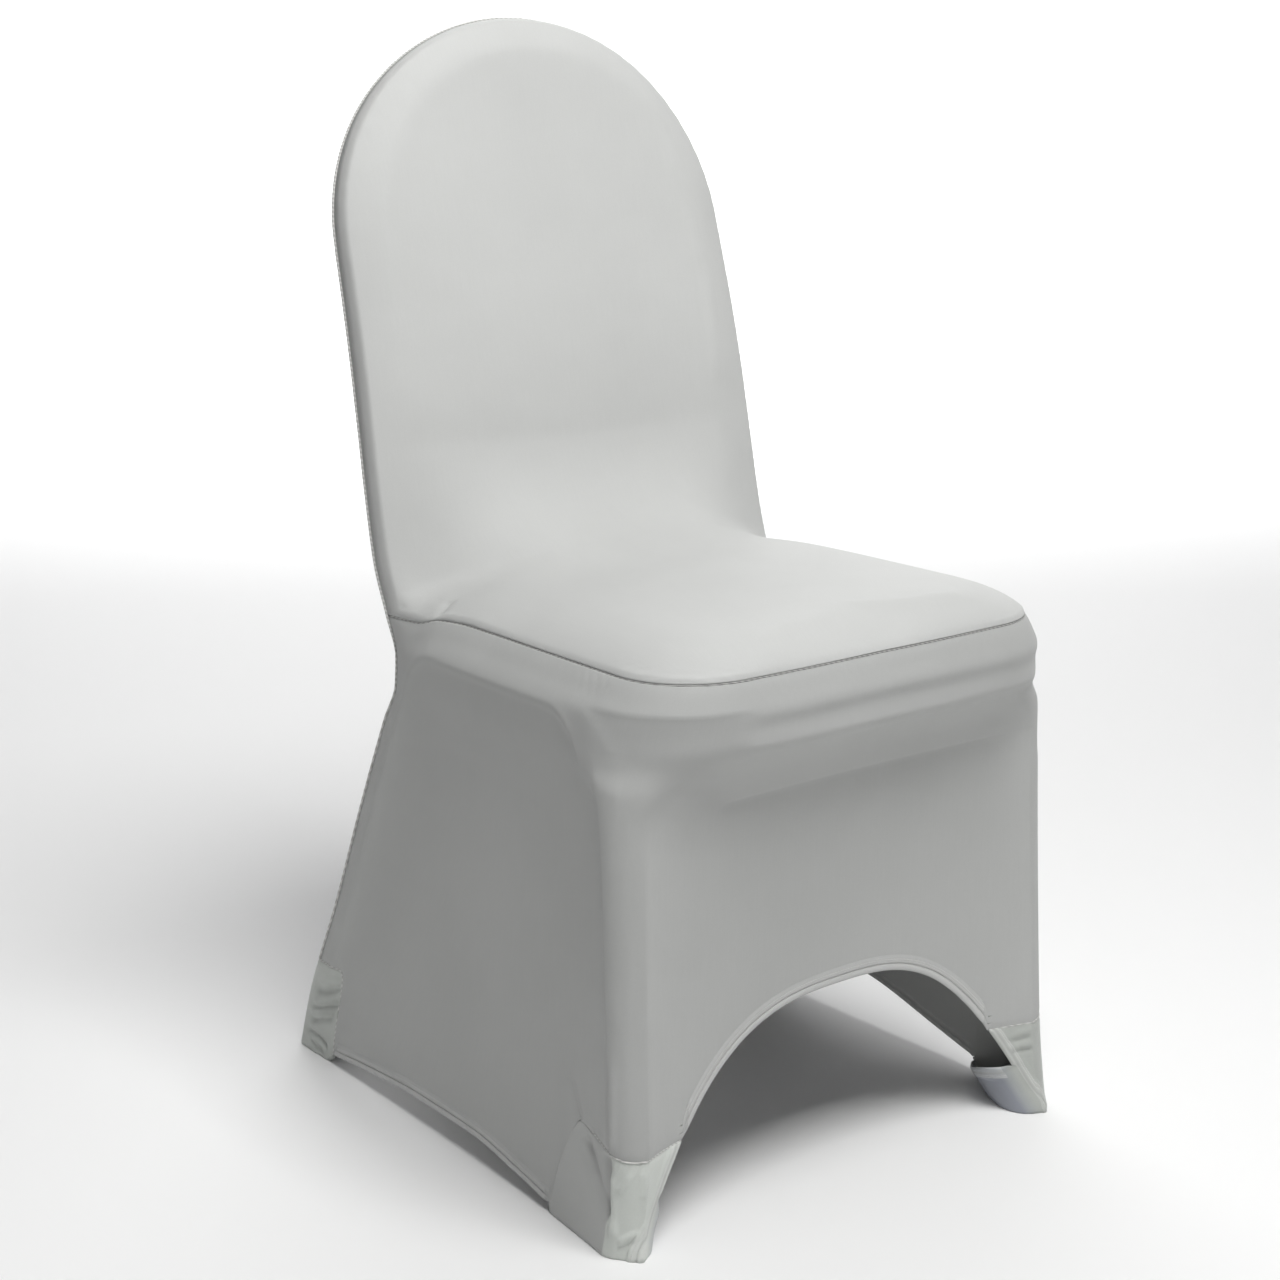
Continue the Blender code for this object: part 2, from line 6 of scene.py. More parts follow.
import bmesh
import bpy
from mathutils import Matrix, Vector


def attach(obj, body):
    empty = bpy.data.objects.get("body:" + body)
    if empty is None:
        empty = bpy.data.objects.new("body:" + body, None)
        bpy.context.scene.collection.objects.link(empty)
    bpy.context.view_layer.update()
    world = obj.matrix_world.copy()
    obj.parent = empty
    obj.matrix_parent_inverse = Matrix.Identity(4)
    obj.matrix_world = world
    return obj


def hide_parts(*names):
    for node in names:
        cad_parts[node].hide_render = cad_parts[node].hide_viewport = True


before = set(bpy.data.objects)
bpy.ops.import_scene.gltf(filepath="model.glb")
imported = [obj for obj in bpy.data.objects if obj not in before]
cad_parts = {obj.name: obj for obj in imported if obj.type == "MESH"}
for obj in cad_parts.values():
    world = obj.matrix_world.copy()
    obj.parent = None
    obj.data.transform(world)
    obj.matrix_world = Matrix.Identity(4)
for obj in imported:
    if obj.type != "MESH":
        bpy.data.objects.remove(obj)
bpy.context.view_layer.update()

# Silver grey stretch cover, shown as it is worn: two stretch panels, a skirt and four foot pockets, each a fine
# sheet on the folds of its solid, with its seams, hems, stitching and creases. Metres, +Z up, front facing -Y.
# Each panel is laid out as the left half and mirrored, and its inner face is worked out first.

CLOTH = 0.0016
SEAM_GAP = 0.0004
GROOVE_GAP = 0.0013
MERGE = 0.00003

# Back
BACK_HALF_WIDTH = 0.2035
ARCH_CENTRE_Z = 0.7485
ARCH_RISE = 0.1875
BACK_TURN = 0.006
REAR_CROWN = 0.004
REAR_SAG = 0.012

# Skirt
FRONT_ARCH_HALF_WIDTH = 0.2160
REAR_ARCH_HALF_WIDTH = 0.205
ARCH_HEM_RISE = 0.1685
ARCH_HEM_POWER = 2.8
ARCH_HEM_MIDDLE_Z = 0.08
CREASE_TOP_Z = 0.425
CREASE_BEND = 0.060
CREASE_DEPTH = 0.010
CREASE_LENGTH = 0.028
CREASE_LOW_SHARE = 0.25
CREASE_LOW_Z = 0.16
CREASE_RIM = 0.0011
CREASE_RIM_WIDTH = 0.004
CREASE_IN = 0.022          # the crease of the side, in from the rear edge
CREASE_CORNER = 0.9        # and where it begins in front, as a share of the corner's radius
COLUMN_TOP_Z = 0.346
COLUMN_BLEND = 0.12        # share of the way down over which the skirt turns into its columns
EDGE_CLEAR = 0.006         # the cloth isn't eased this near an edge
CREASE_CLEAR = 0.030       # or this near the crease of the side
CORNER_CLEAR = 0.010       # or, where the corner's folds run out, this near that crease
MELT_CLEAR = 0.004         # the same where folds run out, and how often the cloth is eased there
MELT_PASSES = 40

# Foot pockets
REAR_POCKET_END = 6 + 4 / 6
FRONT_POCKET_START = 7.625
FRONT_POCKET_END = 9.2
REAR_POCKET_SHARE = 0.30
SATIN_FROM = 8.02          # the side of a front pocket, up to here, is of the skirt's knit
PLAIN_UNTIL = 7.86         # and its edge doesn't show up to here
REAR_POCKET_Z = (0.096, 0.0905)
POUCH_DEPTH = 0.026
POUCH_SQUARENESS = 0.8
POUCH_TOP = 0.45
SOLE_Z = 0.0012
TOE_REACH = 0.008
TOE_HEIGHT = 0.035

# Unevenness of the fitted cloth
RIGHT_HEM_LIFT = 0.034
RIGHT_HEM_DRAW = 0.022
LEFT_FOOT_BACK = 0.008
LEFT_FOOT_OUT = 0.006
RIGHT_FOOT_FORWARD = 0.006
RIGHT_CORNER_FULL = 0.0015
BOX_MIDDLE_Y = 0.0115

# Sewing
HEM_BAND = 0.0105          # width of the turned hem, how far it stands out, and over what width it falls off
HEM_STEP = 0.0014
HEM_FALL = 0.0014
LIP_WIDTH = 0.0009         # rounding of its edge
STITCH_GROOVE = 0.0012     # depth and width of the groove of its stitches
GROOVE_WIDTH = 0.0012
SEAM_RADIUS = 0.0011
GROOVE_RADIUS = 0.0007
EDGE_TUCK = 0.0007         # cloth drawn in beside a sewn edge
TUCK_WIDTH = 0.004
STITCH_IN = 0.0052         # groove along the middle of a hem, and its two rows of stitches
STITCH_ROWS = (0.0078, 0.0094)
HEM_ROWS = 0.016           # from here to the edge a hem has closer rows, at these distances in
HEM_BANDS = (0.014, 0.0125, 0.0115, 0.0105, 0.0095, 0.008, 0.0068,
             0.006, 0.0052, 0.0044, 0.0036, 0.0022, 0.0011, 0.0)
PUCKER = 0.00025           # small waves of the cloth beside a seam
PUCKER_PITCH = 0.011
PUCKER_REACH = 0.010
PUCKER_START = 0.003
WHIP_RELIEF = 0.04
CREASE_STEPS = 12
CREASE_REACH = 3           # in widths of a crease
CREASE_FADE = 6            # a crease fades out over one part in this many at either end

# Finish: dark and light tone of the yarn, thread, roughness, sheen, and how much the knit shows
PANEL_TONES = ((0.485, 0.49, 0.482), (0.54, 0.545, 0.536), (0.66, 0.66, 0.65), 0.60, 0.12, 0.25)
SKIRT_TONES = ((0.415, 0.42, 0.412), (0.465, 0.47, 0.462), (0.62, 0.62, 0.61), 0.60, 0.12, 0.25)
POCKET_TONES = ((0.45, 0.47, 0.445), (0.53, 0.55, 0.52), (0.66, 0.67, 0.65), 0.40, 0.15, 0.15)
# Scale of each foot pocket's knit tones: the front left pocket lightened as painted light, the front right
# darkened as painted shade, the others as they are
POCKET_PAINTED_LIGHT_AND_SHADE = {"front_left_pocket": 1.27, "front_right_pocket": 0.85}
POUCH_TONE = (0.29, 0.305, 0.345)
SIDE_TONE = (0.43, 0.436, 0.427)
# Thread of the seat seam, darker than the back seam's overlock thread: partly its own colour, partly painted
# shade of the groove it lies in
SEAT_SEAM_THREAD_AND_SHADE_DARK = (0.23, 0.23, 0.225)
SEAT_SEAM_THREAD_AND_SHADE_LIGHT = (0.38, 0.38, 0.37)
SEAM_DARK = (0.42, 0.42, 0.405)
SEAM_LIGHT = (0.60, 0.60, 0.585)

# Camera at the photo's angle, in metres, millimetres and radians
CAMERA_PLACE = (-1.2008, -1.5040, 0.9008)
CAMERA_DIP = 0.2482
CAMERA_TURN = 0.6672
LENS = 64.18
LENS_SHIFT = (-0.0109, -0.0006)

# Studio. Lights: name, place, aim, size, power, colour
FLOOR_RADIUS = 5.0
COVE_RADIUS = 2.5
COVE_STEPS = 18
WORLD_STRENGTH = 0.09
SOFTBOXES = (
    ("overhead_key", (-0.12, -1.15, 2.80), (0.05, 0.0, 0.45), (1.5, 1.25), 75, (1.0, 1.0, 0.99)),
    ("front_fill", (-1.0, -2.0, 1.4), (-0.1, 0, 0.5), (1.0, 1.0), 5.0, (1.0, 0.995, 1.0)),
    ("left_fill", (-3.0, -0.8, 1.6), (0, 0, 0.4), (2.0, 2.0), 0.4, (1.0, 1.0, 1.0)),
    ("floor_glow", (2.3, 3.3, 2.6), (2.3, 3.301, 0), (4.0, 4.0), 110, (1.0, 1.0, 1.0)),
    ("wall_glow", (2.5, 3.0, 3.4), (5.2, 6.6, 0.8), (3.0, 3.0), 150, (1.0, 1.0, 1.0)),
)

# Creases of each solid's sheet: a curve through the cloth (start, middle, end), how wide it is, and how
# far it stands out or goes in
Crease = namedtuple("Crease", "start middle end width depth")
CREASES = {
    "back_and_seat_panel": (
        # beside the back's right bevel
        ((0.1412, 0.1862, 0.8362), (0.1619, 0.1681, 0.7597), (0.1645, 0.1539, 0.7099), 0.0055, 0.0012),
        ((0.1667, 0.1566, 0.7189), (0.1687, 0.1409, 0.6653), (0.1599, 0.1297, 0.6044), 0.0055, 0.0012),
        # dimple at the seat seam
        ((-0.2041, 0.0521, 0.4537), (-0.1955, 0.0554, 0.4582), (-0.1830, 0.0613, 0.4634), 0.0035, -0.0024),
        ((-0.1894, 0.0884, 0.4593), (-0.2013, 0.0480, 0.4548), (-0.1760, 0.0794, 0.4660), 0.0050, 0.0008),
    ),
    "foot_pocket_front_left": (
        ((-0.2298, -0.1813, 0.0831), (-0.2331, -0.1962, 0.0727), (-0.2376, -0.2173, 0.0352), 0.0060, -0.0050),
        ((-0.2344, -0.2174, 0.0852), (-0.2357, -0.2189, 0.0613), (-0.2385, -0.2223, 0.0265), 0.0058, -0.0062),
        ((-0.2352, -0.2259, 0.0719), (-0.2364, -0.2268, 0.0470), (-0.2374, -0.2297, 0.0140), 0.0032, 0.0021),
        # satin of the front left pocket
        ((-0.2349, -0.2293, 0.0606), (-0.2336, -0.2345, 0.0543), (-0.2265, -0.2399, 0.0749), 0.0023, 0.0012),
        ((-0.2188, -0.2437, 0.0739), (-0.2162, -0.2442, 0.0615), (-0.2203, -0.2432, 0.0506), 0.0030, 0.0010),
        ((-0.2356, -0.2325, 0.0146), (-0.2309, -0.2397, 0.0199), (-0.2212, -0.2429, 0.0236), 0.0023, 0.0015),
        ((-0.2362, -0.2319, 0.0093), (-0.2316, -0.2387, 0.0120), (-0.2246, -0.2423, 0.0176), 0.0023, -0.0012),
    ),
    "skirt_panel": (
        # edge of the left column
        ((-0.2336, -0.2240, 0.1641), (-0.2342, -0.2243, 0.1211), (-0.2347, -0.2248, 0.0857), 0.0037, 0.0018),
        # drawn fold above the front left foot
        ((-0.2270, -0.1545, 0.1260), (-0.2285, -0.1650, 0.1090), (-0.2292, -0.1765, 0.0905), 0.0050, -0.0022),
    ),
    "foot_pocket_front_right": (
        ((0.1901, -0.2409, 0.0725), (0.2002, -0.2440, 0.0708), (0.2123, -0.2474, 0.0763), 0.0023, 0.0015),
        ((0.1911, -0.2415, 0.0677), (0.2016, -0.2448, 0.0650), (0.2122, -0.2478, 0.0698), 0.0023, -0.0014),
        ((0.1910, -0.2418, 0.0631), (0.1997, -0.2445, 0.0598), (0.2122, -0.2482, 0.0633), 0.0023, 0.0015),
        ((0.1948, -0.2432, 0.0578), (0.2035, -0.2459, 0.0568), (0.2121, -0.2485, 0.0577), 0.0023, -0.0015),
        ((0.1986, -0.2451, 0.0470), (0.1996, -0.2472, 0.0341), (0.2065, -0.2538, 0.0134), 0.0037, -0.0015),
    ),
    "foot_pocket_rear_left": (
        # wrinkles of the rear left pocket
        ((-0.2240, 0.2378, 0.0749), (-0.2228, 0.2184, 0.0815), (-0.2216, 0.2035, 0.0841), 0.0032, 0.0019),
        ((-0.2243, 0.2478, 0.0625), (-0.2242, 0.2243, 0.0676), (-0.2214, 0.1982, 0.0785), 0.0046, -0.0031),
        ((-0.2249, 0.2495, 0.0504), (-0.2242, 0.2201, 0.0601), (-0.2219, 0.1924, 0.0688), 0.0029, 0.0022),
        ((-0.2255, 0.2541, 0.0440), (-0.2244, 0.2266, 0.0530), (-0.2227, 0.1940, 0.0636), 0.0026, -0.0019),
        ((-0.2259, 0.2542, 0.0369), (-0.2248, 0.2254, 0.0465), (-0.2231, 0.1967, 0.0559), 0.0029, 0.0017),
        ((-0.2260, 0.2534, 0.0313), (-0.2257, 0.2348, 0.0371), (-0.2241, 0.2117, 0.0467), 0.0034, -0.0023),
        ((-0.2262, 0.2619, 0.0191), (-0.2267, 0.2404, 0.0233), (-0.2257, 0.2220, 0.0114), 0.0026, -0.0028),
        ((-0.2265, 0.2547, 0.0120), (-0.2268, 0.2471, 0.0058), (-0.2261, 0.2297, 0.0054), 0.0026, -0.0019),
    ),
}

# Seam line of the back and of the rear corners, seen from the side, top to floor
Edge = namedtuple("Edge", "z half_width y")
REAR_EDGE = tuple(Edge(*row) for row in (
    (0.940, 0.2035, 0.2180), (0.860, 0.2035, 0.2070), (0.780, 0.2035, 0.1905), (0.671, 0.2060, 0.1635),
    (0.604, 0.2080, 0.1490), (0.537, 0.2095, 0.1360), (0.486, 0.2100, 0.1250), (0.443, 0.2085, 0.1100),
    (0.409, 0.2075, 0.0980), (0.385, 0.2085, 0.0985), (0.350, 0.2105, 0.1150), (0.267, 0.2145, 0.1510),
    (0.158, 0.2190, 0.1960), (0.063, 0.2230, 0.2390), (0.000, 0.2255, 0.2580),
))

# Height of the seat seam: rear to front along the side, round the corner, then to the middle
SeamHeight = namedtuple("SeamHeight", "station z")
SEAT_SEAM = tuple(SeamHeight(*row) for row in (
    (6.00, 0.4430), (6.24, 0.4435), (6.50, 0.4520), (6.80, 0.4552),
    (7.60, 0.4547), (8.20, 0.4545), (9.00, 0.4560), (10.0, 0.4575),
))

# Fullness of the stretch panel over its seam line: how far the cloth stands off, in which direction,
# how much of that is the upright edge and the bevel, and how far the edge rolls out over the seam
Fullness = namedtuple("Fullness", "station tilt depth upright bevel bevel_width roll")
FULLNESS = tuple(Fullness(*row) for row in (
    (0.0, 10.0, 0.026, 0.010, 0.010, 0.030, 0.000), (2.0, 10.0, 0.030, 0.013, 0.013, 0.036, 0.000),
    (3.6, 11.0, 0.032, 0.015, 0.013, 0.042, 0.000), (4.2, 12.0, 0.033, 0.015, 0.011, 0.050, 0.000),
    (6.0, 12.0, 0.030, 0.014, 0.009, 0.060, 0.000), (6.01, 88.0, 0.028, 0.003, 0.011, 0.050, 0.000),
    (7.2, 90.0, 0.032, 0.002, 0.019, 0.050, 0.001), (8.5, 90.0, 0.031, 0.002, 0.021, 0.050, 0.003),
    (10.0, 90.0, 0.029, 0.002, 0.018, 0.050, 0.001),
))
EDGE_ROUNDING = 0.004
ROLL_WIDTH = 0.030
SWEEP_START = 4.2          # between these stations the cloth cuts the corner from back to seat
SWEEP_END = 7.2
SWEEP_FROM = 0.06          # shares of the way in at which it begins to do so, and does so fully
SWEEP_FULL = 0.66

# Where the rows of the panels end on the middle plane
ARCH_FOOT_Z = (0.862, 0.730)
SIDE_FOOT_Y = -0.155
FRONT_FOOT_Y = -0.222

# Rows of the skirt below the seat seam: how far down, then the outline there. Bow says how squarely the front
# turns from the corner to its middle, and taper how late the side narrows towards the neck.
Level = namedtuple("Level", "name drop side_x corner_y centre_y corner bow taper")
LEVELS = tuple(Level(*row) for row in (
    ("seat seam", 0.000, 0.2030, -0.2755, -0.2800, 0.072, 2.0, 6.0),
    ("roll", 0.013, 0.2135, -0.2785, -0.2832, 0.078, 2.0, 6.0),
    ("upper ridge", 0.027, 0.2240, -0.2810, -0.2860, 0.086, 2.0, 6.0),
    ("groove", 0.038, 0.2265, -0.2785, -0.2830, 0.088, 2.0, 5.5),
    ("lower ridge", 0.053, 0.2285, -0.2775, -0.2835, 0.088, 2.0, 5.0),
    ("under the roll", 0.066, 0.2302, -0.2620, -0.2660, 0.068, 2.0, 4.0),
    ("pull in", 0.084, 0.2310, -0.2500, -0.2500, 0.036, 2.5, 3.0),
    ("column top", 0.108, 0.2315, -0.2440, -0.2390, 0.024, 3.0, 2.0),
))
COLUMN_TOP = Level("column top", 0.0, 0.2315, -0.2440, -0.2380, 0.023, 3.0, 1.8)
COLUMN_FOOT = Level("column foot", 0.0, 0.2340, -0.2580, -0.2330, 0.020, 5.0, 1.0)

# Lower edge of the skirt on the side: a station at the column top, the station it reaches down to, its height.
# The first and last rows are the seams of the foot pockets, those between are the side hem.
Bottom = namedtuple("Bottom", "above below z")
BOTTOM = tuple(Bottom(*row) for row in (
    (6.000, 6.000, 0.096), (6.167, 6.150, 0.0955), (6.333, 6.192, 0.074), (6.500, 6.204, 0.040),
    (6.667, 6.218, 0.010), (6.833, 6.500, 0.017), (7.000, 6.800, 0.022), (7.250, 7.150, 0.023),
    (7.500, 7.500, 0.013), (7.625, 7.650, 0.009), (7.750, 7.700, 0.050), (7.875, 7.810, 0.094),
    (8.000, 8.000, 0.085), (9.000, 9.000, 0.0815), (9.200, 9.200, 0.0812),
))

# Soles of the pockets: a station at the pocket's top, and that of the sole's edge below it
Sole = namedtuple("Sole", "above below")
FRONT_SOLE = (Sole(7.625, 7.66), Sole(7.875, 7.83), Sole(8.0, 8.0), Sole(8.5, 8.42), Sole(9.2, 8.97))
REAR_SOLE_SIDE = (Sole(6.0, 6.0), Sole(6.333, 6.09), Sole(6.667, 6.19))


@lru_cache(maxsize=None)
def knots(rows, key, column):
    """A column as heights and slopes over a key, for a smooth curve that doesn't overshoot its rows."""
    ordered = sorted(rows, key=lambda row: getattr(row, key))
    xs = [getattr(row, key) for row in ordered]
    ys = [getattr(row, column) for row in ordered]
    rises = [(ys[i + 1] - ys[i]) / (xs[i + 1] - xs[i]) for i in range(len(xs) - 1)]
    slopes = [rises[0]]
    for before, after in zip(rises, rises[1:]):
        slopes.append(0.0 if before * after <= 0 else 2 * before * after / (before + after))
    slopes.append(rises[-1])
    return xs, ys, slopes


def read(rows, key, column, place):
    """Value of a column at a place between the rows."""
    xs, ys, slopes = knots(rows, key, column)
    if place <= xs[0]:
        return ys[0]
    if place >= xs[-1]:
        return ys[-1]
    i = bisect_right(xs, place) - 1
    width = xs[i + 1] - xs[i]
    t = (place - xs[i]) / width
    start = (1 + 2 * t) * (1 - t) ** 2 * ys[i] + t * t * (3 - 2 * t) * ys[i + 1]
    return start + width * (t * (1 - t) ** 2 * slopes[i] - t * t * (1 - t) * slopes[i + 1])


def mix(low, high, share):
    return low + (high - low) * share


def ease(share):
    """Smooth step from 0 to 1."""
    share = min(max(share, 0.0), 1.0)
    return share * share * (3 - 2 * share)


def bump(value, middle, reach):
    """Smooth hump: 1 at the middle, 0 from the reach on."""
    return ease(1 - abs(value - middle) / reach)


def rear_edge(z):
    """Seam line at the rear of the side, left half."""
    return Vector((-read(REAR_EDGE, "z", "half_width", z), read(REAR_EDGE, "z", "y", z), z))


def rear_neck():
    return rear_edge(SEAT_SEAM[0].z)


def seat_outline(station, level, rear):
    """Point on one level of the skirt, round the side, the corner and the front."""
    corner_x = -level.side_x + level.corner
    corner_y = level.corner_y + level.corner
    if station <= 8:
        share = (station - 6) / 2
        spread = (1 - share) ** level.taper
        return mix(-level.side_x, rear.x, spread), mix(rear.y, corner_y, share)
    if station <= 9:
        turn = (station - 8) * math.pi / 2
        return corner_x - level.corner * math.cos(turn), corner_y - level.corner * math.sin(turn)
    x = corner_x * (10 - station)
    return x, mix(level.centre_y, level.corner_y, (10 - station) ** level.bow)


def seam_point(station):
    """Edge of the stretch panel, round the back and the seat: top middle 0, neck 6, front middle 10."""
    if station <= 2:
        turn = station * math.pi / 4
        z = ARCH_CENTRE_Z + ARCH_RISE * math.cos(turn)
        return Vector((-BACK_HALF_WIDTH * math.sin(turn), read(REAR_EDGE, "z", "y", z), z))
    if station <= 6:
        return rear_edge(mix(ARCH_CENTRE_Z, SEAT_SEAM[0].z, (station - 2) / 4))
    x, y = seat_outline(station, LEVELS[0], rear_neck())
    return Vector((x, y, read(SEAT_SEAM, "station", "z", station)))


def row_foot(station):
    """Foot of a row of the stretch panel or the rear panel, on the middle plane, before the fullness."""
    neck = rear_neck()
    if station <= 2:
        z = mix(*ARCH_FOOT_Z, mix(ease(station / 2), station / 2, 0.6))
        return Vector((0, read(REAR_EDGE, "z", "y", z), z))
    if station <= 6:
        z = mix(ARCH_FOOT_Z[1], neck.z, (station - 2) / 4)
        return Vector((0, read(REAR_EDGE, "z", "y", z), z))
    seam_z = seam_point(station).z
    if station <= 8:
        return Vector((0, mix(neck.y, SIDE_FOOT_Y, (station - 6) / 2), seam_z))
    return Vector((0, mix(SIDE_FOOT_Y, FRONT_FOOT_Y, (station - 8) / 2), seam_z))


def flat_point(station, share):
    """Point at a share of the way in along a row, and how far in that is, before the fullness."""
    seam = seam_point(station)
    across = row_foot(station) - seam
    point = seam + across * share
    if station <= 6:
        point.y = read(REAR_EDGE, "z", "y", point.z)
    return point, across.length * share


def rounding(inward, radius):
    """Quarter round: 0 at the edge, 1 from the radius on."""
    share = min(inward / radius, 1.0)
    return math.sqrt(1 - (1 - share) ** 2)


def stand_off(station, inward, share):
    """How far, and which way, the stretch panel stands off at a distance in from its edge."""
    tilt, depth, upright, bevel, width = (read(FULLNESS, "station", column, station)
                                          for column in ("tilt", "depth", "upright", "bevel", "bevel_width"))
    slope = min(inward / width, 1.0)
    height = upright * rounding(inward, EDGE_ROUNDING) + bevel * (1 - (1 - slope) ** 1.4)
    height += (depth - upright - bevel) * (1 - (1 - share) ** 2)
    direction = Vector((0, -math.cos(math.radians(tilt)), math.sin(math.radians(tilt))))
    return direction * max(height, SEAM_GAP)


def full_point(station, share):
    """Point of the stretch panel where it lies over the back or over the seat."""
    point, inward = flat_point(station, share)
    outward = (seam_point(station) - row_foot(station)).normalized()
    roll = read(FULLNESS, "station", "roll", station) * math.sin(math.pi * min(inward / ROLL_WIDTH, 1))
    return point + outward * roll + stand_off(station, inward, share)


def sweep_point(station, share):
    """Point of the stretch panel where it cuts the corner from the back to the seat."""
    above = full_point(SWEEP_START, share)
    ahead = full_point(SWEEP_END, share)
    neck = seam_point(6)
    inward = abs(neck.x) * share
    corner = Vector((neck.x * (1 - share), neck.y, neck.z))
    corner += stand_off(6, inward, share) + stand_off(6.01, inward, share)
    if station <= 6:
        along = (station - SWEEP_START) / (6 - SWEEP_START)
        fitted = above.lerp(corner, along)
        straight = seam_point(SWEEP_START).lerp(neck, along)
    else:
        along = (station - 6) / (SWEEP_END - 6)
        fitted = corner.lerp(ahead, along)
        straight = neck.lerp(seam_point(SWEEP_END), along)
    fitted += (seam_point(station) - straight) * (1 - share) ** 2
    bend = (station - SWEEP_START) / (SWEEP_END - SWEEP_START)
    cut = above * (1 - bend) ** 2 + corner * 2 * bend * (1 - bend) + ahead * bend ** 2
    return fitted.lerp(cut, ease((share - SWEEP_FROM) / (SWEEP_FULL - SWEEP_FROM)))


def stretch_point(station, share):
    """Point of the stretch panel on the row of a station, from its edge (0) to the middle (1)."""
    if SWEEP_START < station < SWEEP_END:
        return sweep_point(station, share)
    return full_point(station, share)


def inside_crease(y, z, front_y, rear_y):
    """Distance inside the crease that follows the front corner and the top of the side."""
    centre_y = (front_y + rear_y) / 2
    half = (rear_y - front_y) / 2
    bend = min(CREASE_BEND, half)
    over_y = abs(y - centre_y) - half + bend
    over_z = z - CREASE_TOP_Z + bend
    outside = math.hypot(max(over_y, 0), max(over_z, 0)) + min(max(over_y, over_z), 0) - bend
    return -outside


def arch_height(x, half_width):
    """Height of the front or rear hem at a distance from the middle."""
    return ARCH_HEM_RISE * (1 - min(abs(x) / half_width, 1) ** ARCH_HEM_POWER)


def arch_half_width(z, half_width):
    """How far out the front or rear hem is at a height."""
    return half_width * (1 - z / ARCH_HEM_RISE) ** (1 / ARCH_HEM_POWER)


def blend_levels(first, second, share):
    """Outline between two levels."""
    return Level("column", *(mix(a, b, share) for a, b in zip(first[1:], second[1:])))


def column_level(z):
    """Outline of the skirt below the column top."""
    return blend_levels(COLUMN_TOP, COLUMN_FOOT, 1 - z / COLUMN_TOP_Z)


def level_at(drop):
    """Outline of the skirt at any distance below the seat seam."""
    return Level("between", drop, *(read(LEVELS, "drop", column, drop) for column in Level._fields[2:]))


def crease_front(level):
    """Where the crease of the side turns down in front."""
    return level.corner_y + level.corner * CREASE_CORNER


def side_point(station, level, z):
    """Point of the skirt or of a front pocket at a height, with the crease of the side drawn in."""
    rear = rear_edge(z)
    x, y = seat_outline(station, level, rear)
    if station < 8:
        inside = inside_crease(y, z, crease_front(level), rear.y - CREASE_IN)
        strength = mix(CREASE_LOW_SHARE, 1, ease(z / CREASE_LOW_Z))
        x += CREASE_DEPTH * strength * (1 - math.exp(-max(inside, 0) / CREASE_LENGTH))
        x -= CREASE_RIM * strength * math.exp(-(inside / CREASE_RIM_WIDTH) ** 2) * ease((8 - station) * 6)
    return Vector((x, y, z))


def lower_edge(station):
    """Under a station at the column top: the station of the lower edge, and its height."""
    if station <= FRONT_POCKET_END:
        return read(BOTTOM, "above", "below", station), read(BOTTOM, "above", "z", station)
    x = seat_outline(station, column_level(ARCH_HEM_MIDDLE_Z), rear_edge(ARCH_HEM_MIDDLE_Z))[0]
    return station, arch_height(x, FRONT_ARCH_HALF_WIDTH)


def skirt_point(station, drop, share):
    """Point of the skirt: so far below the seat seam, then a share of the way from there to the lower edge."""
    top = seam_point(station).z
    if share <= 0:
        return side_point(station, level_at(drop), top - drop)
    below, hem = lower_edge(station)
    z = mix(top - LEVELS[-1].drop, hem, share)
    column = column_level(z)
    early = 1 - ease(share / COLUMN_BLEND)
    if early > 0:
        column = blend_levels(column, LEVELS[-1], early)
    return side_point(mix(station, below, share), column, z)


def rear_point(edge, share):
    """Point of the rear panel or a rear pocket: in from the rear edge to the middle."""
    inward = abs(edge.x) * share
    below_neck = ease((rear_neck().z - edge.z) / 0.15) * ease(edge.z / 0.12)
    y = edge.y + BACK_TURN * rounding(inward, BACK_TURN)
    y += mix(REAR_CROWN, -REAR_SAG, below_neck) * (1 - (1 - share) ** 2)
    return Vector((edge.x * (1 - share), y, edge.z))


def rear_hem(share):
    """Height of the lower edge of the rear panel."""
    if share <= REAR_POCKET_SHARE:
        return mix(*REAR_POCKET_Z, share / REAR_POCKET_SHARE)
    return arch_height(rear_edge(ARCH_HEM_RISE).x * (1 - share), REAR_ARCH_HALF_WIDTH)


def rear_upper_point(station, share):
    """Point of the rear panel behind the back, on the row of a station of its seam."""
    point, inward = flat_point(station, share)
    point.y += max(BACK_TURN * rounding(inward, BACK_TURN), SEAM_GAP)
    point.y += REAR_CROWN * (1 - (1 - share) ** 2)
    return point


def settle(point):
    """Small unevenness of the whole cover, the same for every panel so that their seams stay together."""
    x, y, z = point
    right = ease((x - 0.12) / 0.08)
    left = ease((-0.12 - x) / 0.08)
    low = max(1 - z / 0.30, 0) ** 2
    toe = max(1 - z / 0.10, 0) ** 2 * bump(y, -0.24, 0.14)
    corner = right * bump(z, 0.462, 0.045) * bump(y, -0.24, 0.14) * RIGHT_CORNER_FULL
    drawn = low * right * bump(y, -0.16, 0.13) * RIGHT_HEM_DRAW
    lifted = low * right * bump(y, 0.0, 0.2) * RIGHT_HEM_LIFT
    x += corner - toe * left * LEFT_FOOT_OUT
    y += toe * (left * LEFT_FOOT_BACK - right * RIGHT_FOOT_FORWARD) - drawn - corner
    return Vector((x, y + BOX_MIDDLE_Y, z + lifted))


def spread(*runs):
    """Places along a line, from runs of (start, end, steps)."""
    places = []
    for start, end, steps in runs:
        places += [mix(start, end, step / steps) for step in range(steps)]
    return places + [runs[-1][1]]


def marks_of(bm):
    """Layers of a sheet: grain, shares of satin and pouch, and distances from a hem and from a seam."""
    vectors, numbers = bm.verts.layers.float_vector, bm.verts.layers.float
    return vectors["grain"], vectors["cut"], numbers["hem"], numbers["seam"]


